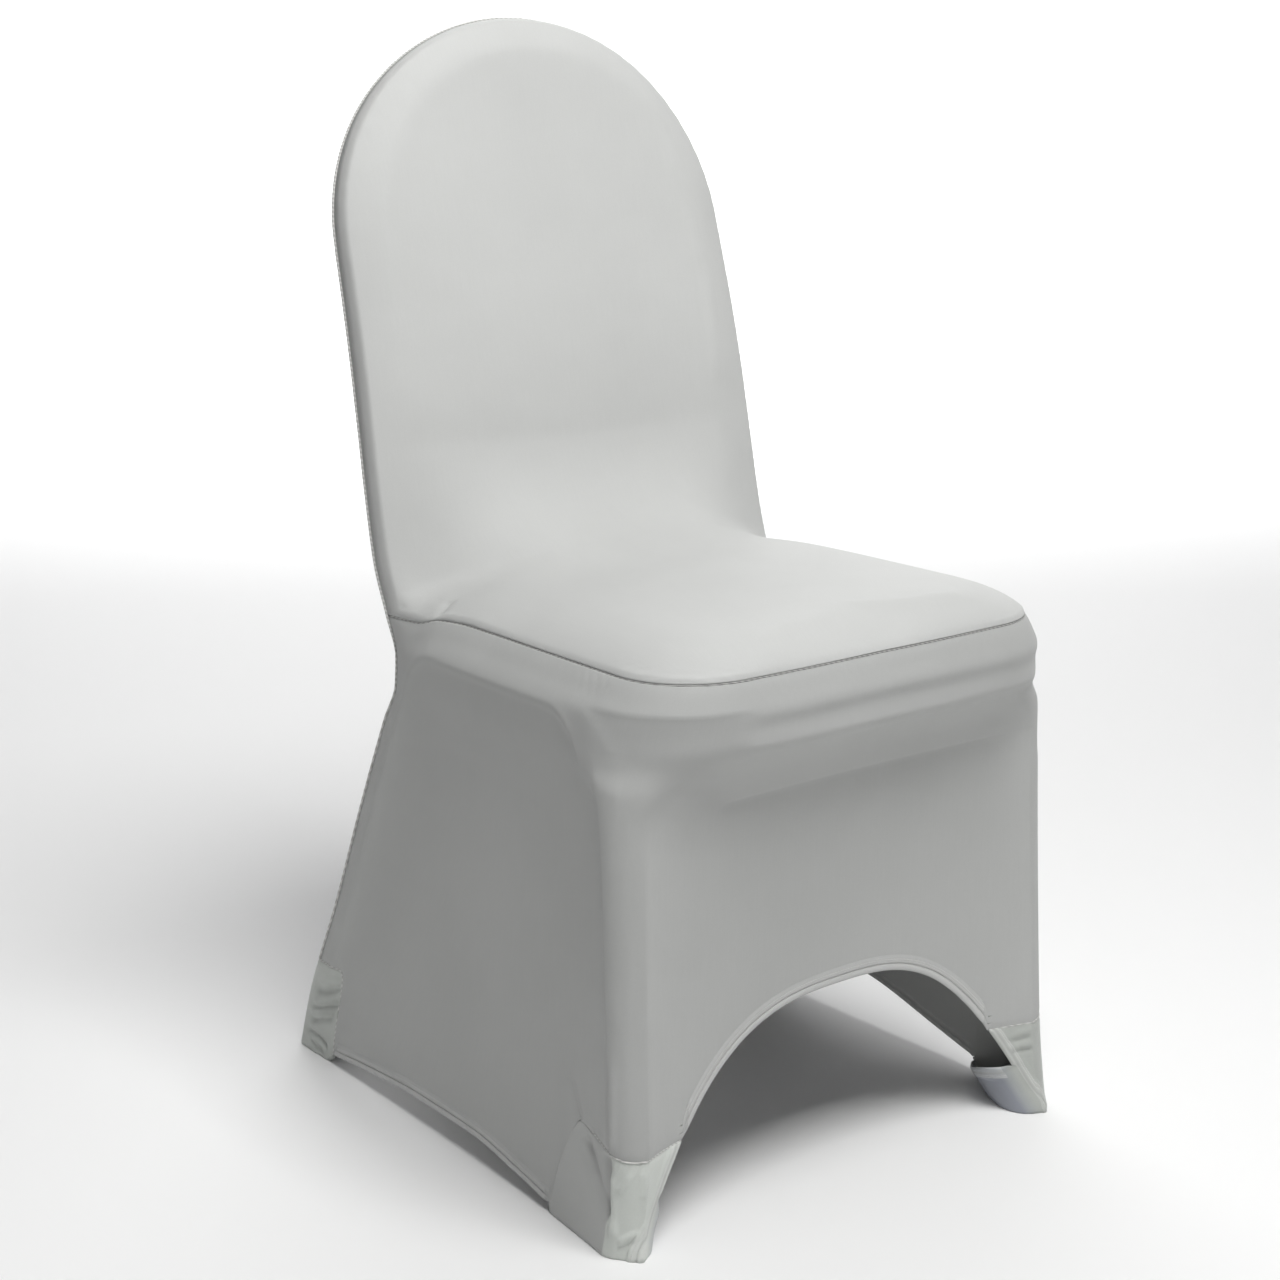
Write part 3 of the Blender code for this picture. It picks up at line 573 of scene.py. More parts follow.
def add_grid(bm, columns, rows, point, marks, kind=None):
    """A grid of quads. point(i, j) places a vertex, and marks(i, j, point) gives its grain, hem and seam
    distance. kind(i, j) gives its share of satin and of pouch.
    """
    grain, cut, hem, seam = marks_of(bm)
    made = bmesh.ops.create_grid(bm, x_segments=columns - 1, y_segments=rows - 1, size=1)["verts"]
    for vert in made:
        i = round((vert.co.x + 1) / 2 * (columns - 1))
        j = round((vert.co.y + 1) / 2 * (rows - 1))
        vert.co = point(i, j)
        vert[grain], vert[hem], vert[seam] = marks(i, j, vert.co)
        if kind:
            vert[cut] = kind(i, j)


def new_cloth():
    bm = bmesh.new()
    bm.verts.layers.float_vector.new("grain")
    bm.verts.layers.float_vector.new("cut")
    bm.verts.layers.float.new("hem")
    bm.verts.layers.float.new("seam")
    return bm


def mirror_half(bm):
    """Join the right half to a left half whose open edges at the middle lie on x = 0."""
    for vert in bm.verts:
        if abs(vert.co.x) < MERGE:
            vert.co.x = 0
    bmesh.ops.mirror(bm, geom=bm.verts[:] + bm.edges[:] + bm.faces[:], axis="X", merge_dist=MERGE)


def face_away(bm, centre):
    """Turn the faces of an open sheet so that they look away from a point inside it."""
    bmesh.ops.recalc_face_normals(bm, faces=bm.faces)
    votes = sum((face.calc_center_median() - centre).dot(face.normal) * face.calc_area() for face in bm.faces)
    if votes < 0:
        bmesh.ops.reverse_faces(bm, faces=bm.faces)


def relax(bm, passes, clear, where):
    """Ease the kinks out of one place of a sheet, away from its sewn edges."""
    _, _, hem, seam = marks_of(bm)
    inner = [v for v in bm.verts if v[hem] > clear and v[seam] > clear and not v.is_boundary and where(v.co)]
    for _ in range(passes):
        bmesh.ops.smooth_vert(bm, verts=inner, factor=0.5, use_axis_x=True, use_axis_y=True, use_axis_z=True)


def at_neck(point):
    """Where the stretch panel turns from the back to the seat, beside its seams."""
    return abs(point.x) > 0.11 and 0.43 < point.z < 0.52


def side_crease_gap(point):
    """Distance from a point of the skirt to the crease of the side."""
    level = column_level(min(point.z, COLUMN_TOP_Z))
    return abs(inside_crease(point.y, point.z, crease_front(level), rear_edge(point.z).y - CREASE_IN))


def off_side_crease(point):
    """Whether a point of the skirt lies clear of the crease of the side."""
    return side_crease_gap(point) >= CREASE_CLEAR


def at_left_corner(point):
    """Front left corner, where the two ridges of the skirt run out and the cloth bridges to the column."""
    return (point.x < -0.13 and point.y < -0.19 and 0.325 < point.z < 0.432
            and side_crease_gap(point) >= CORNER_CLEAR)


def hem_relief(distance):
    """How far the doubled hem stands out at a distance from its edge."""
    band = 1 - ease((distance - HEM_BAND) / HEM_FALL)
    groove = math.exp(-((distance - STITCH_IN) / GROOVE_WIDTH) ** 2)
    lip = math.exp(-(distance / LIP_WIDTH) ** 2)
    return HEM_STEP * band - STITCH_GROOVE * groove - 0.5 * HEM_STEP * lip


def crease_distance(point, crease):
    """Distance from a point to a crease, and how far along it that is."""
    best = (9.0, 0.0)
    before = crease.start
    for step in range(1, CREASE_STEPS + 1):
        t = step / CREASE_STEPS
        after = crease.start * (1 - t) ** 2 + crease.middle * 2 * t * (1 - t) + crease.end * t * t
        run = after - before
        share = min(max((point - before).dot(run) / run.length_squared, 0), 1)
        gap = (point - before - run * share).length
        if gap < best[0]:
            best = (gap, (step - 1 + share) / CREASE_STEPS)
        before = after
    return best


def press_creases(bm, sheet):
    """Soft troughs and ridges, placed one by one, each fading out towards its ends."""
    moves = {}
    for row in CREASES.get(sheet, ()):
        crease = Crease(*map(Vector, row[:3]), *row[3:])
        reach = crease.width * CREASE_REACH
        low = [min(run) - reach for run in zip(*crease[:3])]
        high = [max(run) + reach for run in zip(*crease[:3])]
        for vert in bm.verts:
            co = vert.co
            if not all(low[k] < co[k] < high[k] for k in range(3)):
                continue
            gap, along = crease_distance(co, crease)
            gap = math.sqrt(max(gap * gap - CLOTH * CLOTH, 0))
            fade = ease(min(along, 1 - along) * CREASE_FADE)
            moves[vert] = moves.get(vert, 0) + crease.depth * fade * math.exp(-(gap / crease.width) ** 2)
    for vert, move in moves.items():
        vert.co += vert.normal * move


def everywhere(point):
    """Every part of a sheet is eased."""
    return True


def put(item):
    """Link an object to the scene."""
    bpy.context.scene.collection.objects.link(item)
    return item


def smooth_object(name, mesh, paint):
    """A smooth object of one material."""
    mesh.shade_smooth()
    mesh.materials.append(paint)
    return put(bpy.data.objects.new(name, mesh))


def cloth_piece(name, node, bm, centre, paint, passes, eased=everywhere, soft=None):
    """Finish one sheet: weld, relax, settle, hems, seams and creases, then the thickness of the cloth."""
    bmesh.ops.remove_doubles(bm, verts=bm.verts, dist=MERGE)
    face_away(bm, centre)
    relax(bm, passes, EDGE_CLEAR, eased)
    if soft:
        relax(bm, MELT_PASSES, MELT_CLEAR, soft)
    for vert in bm.verts:
        vert.co = settle(vert.co)
    bm.normal_update()
    grain, _, hem, seam = marks_of(bm)
    for vert in bm.verts:
        tuck = EDGE_TUCK * math.exp(-(vert[seam] / TUCK_WIDTH) ** 2)
        along = vert[grain].x + vert[grain].y
        pucker = PUCKER * math.exp(-vert[seam] / PUCKER_REACH) * math.sin(along * 2 * math.pi / PUCKER_PITCH)
        vert.co += vert.normal * (hem_relief(vert[hem]) - tuck + pucker * ease(vert[seam] / PUCKER_START))
    bm.normal_update()
    press_creases(bm, node)
    mesh = bpy.data.meshes.new(name)
    bm.to_mesh(mesh)
    bm.free()
    piece = smooth_object(name, mesh, paint)
    thickness = piece.modifiers.new("cloth", "SOLIDIFY")
    thickness.thickness = CLOTH
    thickness.offset = 1.0
    thickness.use_even_offset = False
    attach(piece, "root")
    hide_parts(node)
    return piece


def back_and_seat(paint):
    """The long stretch panel: over the back, down the sweep and over the seat."""
    places = spread((0, 2, 56), (2, 4, 30), (4, 6, 44), (6, 7, 34), (7, 8, 30), (8, 9, 30), (9, 10, 34))
    across = spread((0, 0.03, 8), (0.03, 0.16, 12), (0.16, 0.5, 14), (0.5, 1, 16))

    def point(i, j):
        return stretch_point(places[i], across[j])

    def marks(i, j, here):
        return Vector((here.x, here.z + here.y, 0)), 1.0, flat_point(places[i], across[j])[1]

    bm = new_cloth()
    add_grid(bm, len(places), len(across), point, marks)
    mirror_half(bm)
    return cloth_piece("stretch_panel", "back_and_seat_panel", bm,
                       Vector((0, 0.1, 0.3)), paint, 4, soft=at_neck)


def hem_slant(before, after):
    """How much longer the way up is than the way straight in from a slanting hem."""
    run = math.hypot(after.x - before.x, after.y - before.y)
    return min(math.hypot(1, (after.z - before.z) / run), 2.5)


def hem_share(station):
    """1 where the lower edge of the skirt is a hem, 0 where a foot pocket is sewn on."""
    side = ease((station - REAR_POCKET_END) / 0.02) * ease((FRONT_POCKET_START - station) / 0.02)
    return side + ease((station - FRONT_POCKET_END) / 0.02)


def plain_side(station):
    """1 where the side of a front pocket goes on from the skirt unseen, 0 at its satin and elsewhere."""
    return ease((station - FRONT_POCKET_START) / 0.01) * (1 - ease((station - PLAIN_UNTIL) / 0.06))


def skirt(paint):
    """The skirt round the sides and the front, from the seat seam to the hems and the pockets."""
    places = spread((6, REAR_POCKET_END, 30), (REAR_POCKET_END, 7, 14), (7, FRONT_POCKET_START, 28),
                    (FRONT_POCKET_START, 7.78, 9), (7.78, 8, 26), (8, 9, 26), (9, FRONT_POCKET_END, 8),
                    (FRONT_POCKET_END, 10, 34))
    drops = spread((0, LEVELS[-1].drop, 54))
    shares = spread((0, 1, 40))[1:]
    rows = len(drops) + len(shares) + len(HEM_BANDS)
    lengths = [seam_point(place).z - LEVELS[-1].drop - lower_edge(place)[1] for place in places]
    slants = [mix(1, hem_slant(skirt_point(place - 0.01, 0, 1), skirt_point(min(place + 0.01, 10), 0, 1)),
                  hem_share(place)) for place in places]

    def where(i, j):
        if j < len(drops):
            return drops[j], 0
        j -= len(drops)
        reach = slants[i] / lengths[i]
        if j < len(shares):
            return 0, shares[j] * (1 - HEM_ROWS * reach)
        return 0, 1 - HEM_BANDS[j - len(shares)] * reach

    def point(i, j):
        drop, share = where(i, j)
        here = skirt_point(places[i], drop, share)
        if j == 0:
            here += (skirt_point(places[i], drops[1], 0) - here).normalized() * GROOVE_GAP
        if i == 0:
            here.y -= SEAM_GAP
        return here

    def marks(i, j, here):
        drop, share = where(i, j)
        edge = lengths[i] * (1 - share) / slants[i] if share else 1.0
        hemmed = hem_share(places[i])
        seam = min(1.0 if share else drop, (here - rear_edge(here.z)).length,
                   edge + hemmed + plain_side(places[i]))
        return Vector((places[i] * 0.16, here.z, 0)), edge + 1.0 - hemmed, max(seam, 0)

    bm = new_cloth()
    add_grid(bm, len(places), rows, point, marks)
    mirror_half(bm)
    return cloth_piece("skirt", "skirt_panel", bm, Vector((0, 0, 0.25)), paint, 3,
                       off_side_crease, at_left_corner)


def rear(paint):
    """The rear panel: behind the back, past the neck and down to the rear arch."""
    places = spread((0, 2, 56), (2, 4, 30), (4, 6, 44))
    drops = spread((0, LEVELS[-1].drop, 26))[1:]
    shares = spread((0, 1, 34))[1:]
    across = spread((0, 0.03, 5), (0.03, REAR_POCKET_SHARE, 14), (REAR_POCKET_SHARE, 1, 22))
    neck_z = rear_neck().z

    def hem_point(share):
        return Vector((rear_edge(ARCH_HEM_RISE).x * (1 - share), 0, rear_hem(share)))

    hemmed = [ease((share - REAR_POCKET_SHARE) / 0.02) for share in across]
    slants = [mix(1, hem_slant(hem_point(share - 0.001), hem_point(min(share + 0.001, 1))), part)
              for share, part in zip(across, hemmed)]

    def where(i, j):
        i -= len(places)
        if i < len(drops):
            return neck_z - drops[i]
        i -= len(drops)
        hem = rear_hem(across[j])
        if i < len(shares):
            return mix(neck_z - LEVELS[-1].drop, hem + HEM_ROWS * slants[j], shares[i])
        return hem + HEM_BANDS[i - len(shares)] * slants[j]

    def point(i, j):
        if i < len(places):
            return rear_upper_point(places[i], across[j])
        return rear_point(rear_edge(where(i, j)), across[j])

    def marks(i, j, here):
        if i < len(places):
            return Vector((here.x, here.z, 0)), 1.0, flat_point(places[i], across[j])[1]
        edge = (here.z - rear_hem(across[j])) / slants[j]
        seam = min(abs(rear_edge(here.z).x) * across[j], edge + hemmed[j])
        return Vector((here.x, here.z, 0)), edge + 1.0 - hemmed[j], max(seam, 0)

    bm = new_cloth()
    add_grid(bm, len(places) + len(drops) + len(shares) + len(HEM_BANDS), len(across), point, marks)
    mirror_half(bm)
    return cloth_piece("rear_sheet", "rear_panel", bm, Vector((0, 0, 0.5)), paint, 2)


def front_edge_station(level, z):
    """Station at which the arch hem runs down the front of a pocket."""
    width = arch_half_width(z, FRONT_ARCH_HALF_WIDTH)
    corner = level.side_x - level.corner
    if width <= corner:
        return 10 - width / corner
    return 8 + math.acos(min((width - corner) / level.corner, 1)) * 2 / math.pi


def front_wall(place, down):
    """Outer wall of a front pocket under a station, from the skirt's edge (0) to the sole (1)."""
    below, top = lower_edge(place)
    gap = 2 * SEAM_GAP * (1 - plain_side(place))
    z = mix(top - gap, SOLE_Z, down)
    level = column_level(z)
    if place > 8:
        share = (place - 8) / (FRONT_POCKET_END - 8)
        station = mix(8, front_edge_station(level, z), share)
    else:
        station = mix(below, read(FRONT_SOLE, "above", "below", place), down)
    point = side_point(station, level, z)
    if place < 7.8:
        point.y -= gap * (1 - down) * ease((place - FRONT_POCKET_START) / 0.05)
    toe = ease((place - 8.6) / 0.6) * max(1 - z / TOE_HEIGHT, 0) ** 2
    point.y -= TOE_REACH * toe
    return point


def rear_wall(place, down):
    """Outer wall of a rear pocket: places from 6 lie on the side, smaller ones are shares of the rear."""
    if place >= 6:
        below, top = lower_edge(place)
        z = mix(top - 2 * SEAM_GAP, SOLE_Z, down)
        foot = read(REAR_SOLE_SIDE, "above", "below", place)
        return side_point(mix(below, foot, down), column_level(z), z)
    z = mix(rear_hem(place) - 2 * SEAM_GAP, SOLE_Z, down)
    edge = rear_edge(z)
    hem = 1 - arch_half_width(z, REAR_ARCH_HALF_WIDTH) / abs(edge.x)
    return rear_point(edge, place / REAR_POCKET_SHARE * hem)


def foot_pocket(name, node, wall, places, side, paint):
    """A pocket: its outer wall from the arch hem round to the side, a pouch behind the foot, and a sole."""
    rows = spread((0, POUCH_TOP, 20), (POUCH_TOP, 0.93, 18), (0.93, 1, 4))
    pouch_rows = [row for row in rows if row >= POUCH_TOP - MERGE]
    pouch_columns = 22
    front = places[0] > REAR_POCKET_SHARE

    def on_wall(i, j):
        return wall(places[i], rows[j])

    tops = [wall(place, 0) for place in places]
    hems = [wall(places[0], row) for row in rows]
    ends = [wall(places[-1], row) for row in rows]
    slope = (wall(places[0], 0.6) - wall(places[0], 0)).normalized()

    def wall_marks(i, j, here):
        hem = (here - hems[j]).cross(slope).length if i or rows[j] < POUCH_TOP - MERGE else 1.0
        seam = min((here - tops[i]).length, (here - ends[j]).length + 0.004)
        if front:
            seam += plain_side(places[i])
        return Vector((i * 0.0022, here.z, 0)), hem, seam

    def in_pouch(i, j):
        share = i / pouch_columns
        hem = hems[j + len(rows) - len(pouch_rows)]
        end = ends[j + len(rows) - len(pouch_rows)]
        point = hem.lerp(end, share)
        drawn = 1 - ease((pouch_rows[j] - POUCH_TOP) / 0.3) if front and side < 0 else 0
        depth = POUCH_DEPTH * (1 - 0.8 * drawn * (1 - share) ** 4)
        point.x += depth * max(math.sin(math.pi * share ** 0.7), 0) ** POUCH_SQUARENESS
        point.z = mix(hem.z, end.z, share ** 1.5)
        return point

    def pouch_marks(i, j, here):
        hem = min((here - in_pouch(0, j)).length, (pouch_rows[j] - POUCH_TOP) * 0.08) if i else 1.0
        return Vector((i * 0.004, here.z, 0)), hem, 1.0

    def wall_kind(i, j):
        return Vector((ease((places[i] - SATIN_FROM) / 0.06) if front else 1, 0, 0))

    def pouch_kind(i, j):
        return Vector((1, ease(min(i, pouch_columns - i) / 2), 0))

    bm = new_cloth()
    add_grid(bm, len(places), len(rows), on_wall, wall_marks, wall_kind)
    add_grid(bm, pouch_columns + 1, len(pouch_rows), in_pouch, pouch_marks, pouch_kind)
    bmesh.ops.remove_doubles(bm, verts=bm.verts, dist=MERGE)
    sole = [edge for edge in bm.edges if edge.is_boundary and all(v.co.z < SOLE_Z + MERGE for v in edge.verts)]
    bmesh.ops.contextual_create(bm, geom=sole)
    if side > 0:
        for vert in bm.verts:
            vert.co.x = -vert.co.x
    middle = sum((vert.co for vert in bm.verts), Vector()) / len(bm.verts)
    return cloth_piece(name, node, bm, middle, paint, 1)


def sewn_line(name, points, radius, paint):
    """A sewn seam that shows as a thin raised line, whipped with thread."""
    curve = bpy.data.curves.new(name, "CURVE")
    curve.dimensions = "3D"
    curve.bevel_depth = radius
    curve.bevel_resolution = 2
    curve.use_fill_caps = True
    spline = curve.splines.new("POLY")
    spline.points.add(len(points) - 1)
    for k, place in enumerate(points):
        spline.points[k].co = (*place, 1)
        spline.points[k].radius = 1 + WHIP_RELIEF * (k % 2)
    drawn = put(bpy.data.objects.new(name + "_path", curve))
    bpy.context.view_layer.update()
    mesh = bpy.data.meshes.new_from_object(drawn.evaluated_get(bpy.context.evaluated_depsgraph_get()))
    bpy.data.objects.remove(drawn, do_unlink=True)
    bm = bmesh.new()
    bm.from_mesh(mesh)
    bmesh.ops.remove_doubles(bm, verts=bm.verts, dist=MERGE)
    bmesh.ops.recalc_face_normals(bm, faces=bm.faces)
    bm.to_mesh(mesh)
    bm.free()
    mesh.name = name
    mesh.materials.clear()
    piece = smooth_object(name, mesh, paint)
    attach(piece, "root")
    return piece


def both_sides(points):
    """A path given on the left half, carried on over the middle to the right half, and settled."""
    right = [Vector((-p.x, p.y, p.z)) for p in reversed(points[:-1])]
    return [settle(p) for p in points + right]


def seat_seam_path():
    """The groove between the stretch panel and the skirt, from the neck to the front middle."""
    path = []
    for station in spread((6.02, 8, 150), (8, 9, 60), (9, 10, 110)):
        along = seam_point(min(station + 0.01, 10)) - seam_point(station - 0.01)
        outward = along.cross(Vector((0, 0, 1))).normalized()
        path.append(seam_point(station) + outward * CLOTH * 0.5 + Vector((0, 0, -SEAM_GAP)))
    return path


def back_seam_path():
    """The seam round the back and on down the rear corner, from the rear pocket to the top middle."""
    path = []
    for z in spread((0.097, rear_neck().z, 170))[:-1]:
        here = rear_edge(z)
        path.append(here + Vector((-CLOTH * 0.8, 0.0004, 0)))
    for station in spread((6, 2, 160), (2, 0, 130)):
        here = seam_point(station)
        turn = min(station, 2) * math.pi / 4
        path.append(here + Vector((-math.sin(turn), 0, math.cos(turn))) * CLOTH * 0.8 + Vector((0, 0.0004, 0)))
    return path


def pocket_seam_path(wall, places):
    """The seam between a pocket and the panel above it."""
    path = []
    for place in places:
        here = wall(place, 0)
        inward = wall(place, 0.1)
        outward = Vector((here.x, here.y, 0)).normalized()
        path.append(here + outward * CLOTH * 0.6 + (here - inward).normalized() * SEAM_GAP)
    return path


def new_group(name, inputs, outputs):
    """An empty shader group. Inputs are names with their number, or None for a vector. Outputs are numbers."""
    group = bpy.data.node_groups.new(name, "ShaderNodeTree")
    for word, value in inputs.items():
        kind = "NodeSocketVector" if value is None else "NodeSocketFloat"
        socket = group.interface.new_socket(name=word, in_out="INPUT", socket_type=kind)
        if value is not None:
            socket.default_value = value
    for word in outputs:
        group.interface.new_socket(name=word, in_out="OUTPUT", socket_type="NodeSocketFloat")
    return group, group.nodes.new("NodeGroupInput").outputs, group.nodes.new("NodeGroupOutput").inputs


def math_node(tree, operation, *values):
    """A Math node fed by sockets or plain numbers. Returns its output."""
    node = tree.nodes.new("ShaderNodeMath")
    node.operation = operation
    for k, value in enumerate(values):
        if isinstance(value, (int, float)):
            node.inputs[k].default_value = value
        else:
            tree.links.new(value, node.inputs[k])
    return node.outputs[0]


def range_node(tree, value, low, high, to_low, to_high):
    """A Map Range node with smooth ends. Returns its output."""
    node = tree.nodes.new("ShaderNodeMapRange")
    node.interpolation_type = "SMOOTHSTEP"
    tree.links.new(value, node.inputs["Value"])
    for word, number in (("From Min", low), ("From Max", high), ("To Min", to_low), ("To Max", to_high)):
        node.inputs[word].default_value = number
    return node.outputs[0]


def noise_node(tree, vector, scale, detail, roughness=0.5):
    node = tree.nodes.new("ShaderNodeTexNoise")
    tree.links.new(vector, node.inputs["Vector"])
    node.inputs["Scale"].default_value = scale
    node.inputs["Detail"].default_value = detail
    node.inputs["Roughness"].default_value = roughness
    return node.outputs[0]


def knit_group():
    """Fine jersey: columns of small V stitches over the grain of the cloth, in metres."""
    group, given, made = new_group("Fine knit", {"Grain": None, "Wale": 0.0009, "Course": 0.0008},
                                   ("Height", "Shade"))
    parts = group.nodes.new("ShaderNodeSeparateXYZ")
    group.links.new(given["Grain"], parts.inputs[0])
    across = math_node(group, "DIVIDE", parts.outputs["X"], given["Wale"])
    up = math_node(group, "DIVIDE", parts.outputs["Y"], given["Course"])
    fold = math_node(group, "PINGPONG", across, 0.5)
    lean = math_node(group, "MULTIPLY_ADD", fold, 0.9, up)
    loop = math_node(group, "SINE", math_node(group, "MULTIPLY", lean, 2 * math.pi))
    rib = math_node(group, "SINE", math_node(group, "MULTIPLY", fold, 2 * math.pi))
    height = math_node(group, "MULTIPLY_ADD", loop, 0.35, rib)
    group.links.new(height, made["Height"])
    streaks = group.nodes.new("ShaderNodeMapping")
    streaks.inputs["Scale"].default_value = (900, 25, 1)
    group.links.new(given["Grain"], streaks.inputs["Vector"])
    drawn = noise_node(group, streaks.outputs[0], 1.0, 2.0)
    group.links.new(math_node(group, "MULTIPLY_ADD", height, 0.12, drawn), made["Shade"])
    return group


def stitch_group():
    """Two rows of stitches along a hem: where the thread shows and how it dents the cloth, with masks for
    painted shade along its groove and a painted highlight over the turned hem band.
    """
    group, given, made = new_group("Hem stitching", {"Distance": 0.0, "Place": None, "Pitch": 0.0028},
                                   ("Thread", "Height", "Hem painted highlight", "Groove painted shade"))
    length = group.nodes.new("ShaderNodeVectorMath")
    length.operation = "DOT_PRODUCT"
    group.links.new(given["Place"], length.inputs[0])
    length.inputs[1].default_value = (1.0, 1.0, 1.0)
    beat = math_node(group, "DIVIDE", length.outputs["Value"], given["Pitch"])
    dash = range_node(group, math_node(group, "FRACT", beat), 0.0, 0.25, 0.0, 1.0)

    def near(place, reach):
        gap = math_node(group, "ABSOLUTE", math_node(group, "SUBTRACT", given["Distance"], place))
        return range_node(group, gap, 0.0, reach, 1.0, 0.0)

    line = math_node(group, "MAXIMUM", *(near(place, 0.0007) for place in STITCH_ROWS))
    group.links.new(math_node(group, "MULTIPLY", line, dash), made["Thread"])
    group.links.new(math_node(group, "MULTIPLY", line, -1.0), made["Height"])
    # mask of painted shade along the groove in the middle of the hem
    group.links.new(near(STITCH_IN, 0.0022), made["Groove painted shade"])
    # mask of a painted highlight over the turned hem band
    group.links.new(range_node(group, given["Distance"], 0.0085, 0.0108, 1.0, 0.0), made["Hem painted highlight"])
    return group


def wear_group():
    """Soft unevenness of the dyed cloth: slow clouds, a fine mottle of the yarn, and a ripple."""
    group, given, made = new_group("Cloth clouds", {"Place": None}, ("Clouds", "Mottle", "Ripple"))
    for word, *noise in (("Clouds", 5.0, 3.0), ("Mottle", 700.0, 2.0, 0.6), ("Ripple", 38.0, 2.0, 0.4)):
        group.links.new(noise_node(group, given["Place"], *noise), made[word])
    return group


def attribute(tree, name, socket):
    node = tree.nodes.new("ShaderNodeAttribute")
    node.attribute_name = name
    return node.outputs[socket]


def blend_colours(tree, share, low, high):
    """A Mix node for colours, with a linked share. Low and high are colours or sockets."""
    node = tree.nodes.new("ShaderNodeMix")
    node.data_type = "RGBA"
    tree.links.new(share, node.inputs[0])
    for k, colour in ((6, low), (7, high)):
        if isinstance(colour, tuple):
            node.inputs[k].default_value = (*colour, 1)
        else:
            tree.links.new(colour, node.inputs[k])
    return node.outputs[2]


def new_paint(name, **settings):
    """A material with its Principled shader's inputs set. Words are joined by _ in the settings."""
    paint = bpy.data.materials.new(name)
    paint.use_nodes = True
    shader = paint.node_tree.nodes["Principled BSDF"]
    for word, value in settings.items():
        shader.inputs[word.replace("_", " ")].default_value = value
    return paint, paint.node_tree, shader


def group_node(tree, key, **feeds):
    """One of the shared groups, with its inputs linked. Returns its outputs."""
    node = tree.nodes.new("ShaderNodeGroup")
    node.node_tree = GROUPS[key]
    for word, value in feeds.items():
        tree.links.new(value, node.inputs[word])
    return node.outputs


def raise_cloth(tree, shader, height, **settings):
    """Bump of a shader."""
    node = tree.nodes.new("ShaderNodeBump")
    for word, value in settings.items():
        node.inputs[word].default_value = value
    tree.links.new(height, node.inputs["Height"])
    tree.links.new(node.outputs[0], shader.inputs["Normal"])


def knit_material(name, dark, light, thread, roughness, sheen, weave, satin=False):
    """Stretch knit: two close tones in clouds, the fine knit, the stitching of its hems, painted shade along
    their groove and a painted highlight over the turned hem band.
    """
    paint, tree, shader = new_paint(name, Specular_IOR_Level=0.3, Sheen_Weight=sheen, Sheen_Roughness=0.45)
    place = tree.nodes.new("ShaderNodeTexCoord").outputs["Object"]
    knit = group_node(tree, "knit", Grain=attribute(tree, "grain", "Vector"))
    stitch = group_node(tree, "stitch", Distance=attribute(tree, "hem", "Fac"), Place=place)
    clouds = group_node(tree, "clouds", Place=place)

    tone = math_node(tree, "MULTIPLY_ADD", clouds["Mottle"], 0.35, clouds["Clouds"])
    tone = math_node(tree, "MULTIPLY_ADD", knit["Shade"], weave, tone)
    colour = blend_colours(tree, range_node(tree, tone, 0.4, 1.3, 0.0, 1.0), dark, light)
    if satin:
        cut = tree.nodes.new("ShaderNodeSeparateXYZ")
        tree.links.new(attribute(tree, "cut", "Vector"), cut.inputs[0])
        colour = blend_colours(tree, cut.outputs["X"], SIDE_TONE, colour)
        colour = blend_colours(tree, cut.outputs["Y"], colour, POUCH_TONE)
    # Painted shade in the hem's groove, the thread of its stitches, then a painted highlight over the turned
    # hem band
    shadow = tuple(channel * 0.55 for channel in dark)
    for word, share, over in (("Groove painted shade", 0.6, shadow), ("Thread", 0.5, thread), ("Hem painted highlight", 0.38, thread)):
        colour = blend_colours(tree, math_node(tree, "MULTIPLY", stitch[word], share), colour, over)
    tree.links.new(colour, shader.inputs["Base Color"])
    rough = math_node(tree, "MULTIPLY_ADD", clouds["Mottle"], 0.16, roughness - 0.08)
    tree.links.new(rough, shader.inputs["Roughness"])

    relief = math_node(tree, "MULTIPLY", knit["Height"], 0.00006)
    relief = math_node(tree, "MULTIPLY_ADD", stitch["Height"], 0.0003, relief)
    relief = math_node(tree, "MULTIPLY_ADD", clouds["Ripple"], 0.0007, relief)
    raise_cloth(tree, shader, relief, Distance=1.0, Strength=0.7)
    return paint


def thread_material(name, dark, light):
    """Overlocked seam: slanting turns of thread round the edge."""
    paint, tree, shader = new_paint(name, Roughness=0.6, Sheen_Weight=0.2)
    turns = tree.nodes.new("ShaderNodeTexWave")
    turns.wave_type = "BANDS"
    turns.bands_direction = "DIAGONAL"
    turns.inputs["Scale"].default_value = 120
    turns.inputs["Distortion"].default_value = 1.5
    tree.links.new(tree.nodes.new("ShaderNodeTexCoord").outputs["Object"], turns.inputs["Vector"])
    tree.links.new(blend_colours(tree, turns.outputs["Fac"], dark, light), shader.inputs["Base Color"])
    raise_cloth(tree, shader, turns.outputs["Fac"], Distance=0.0003)
    return paint


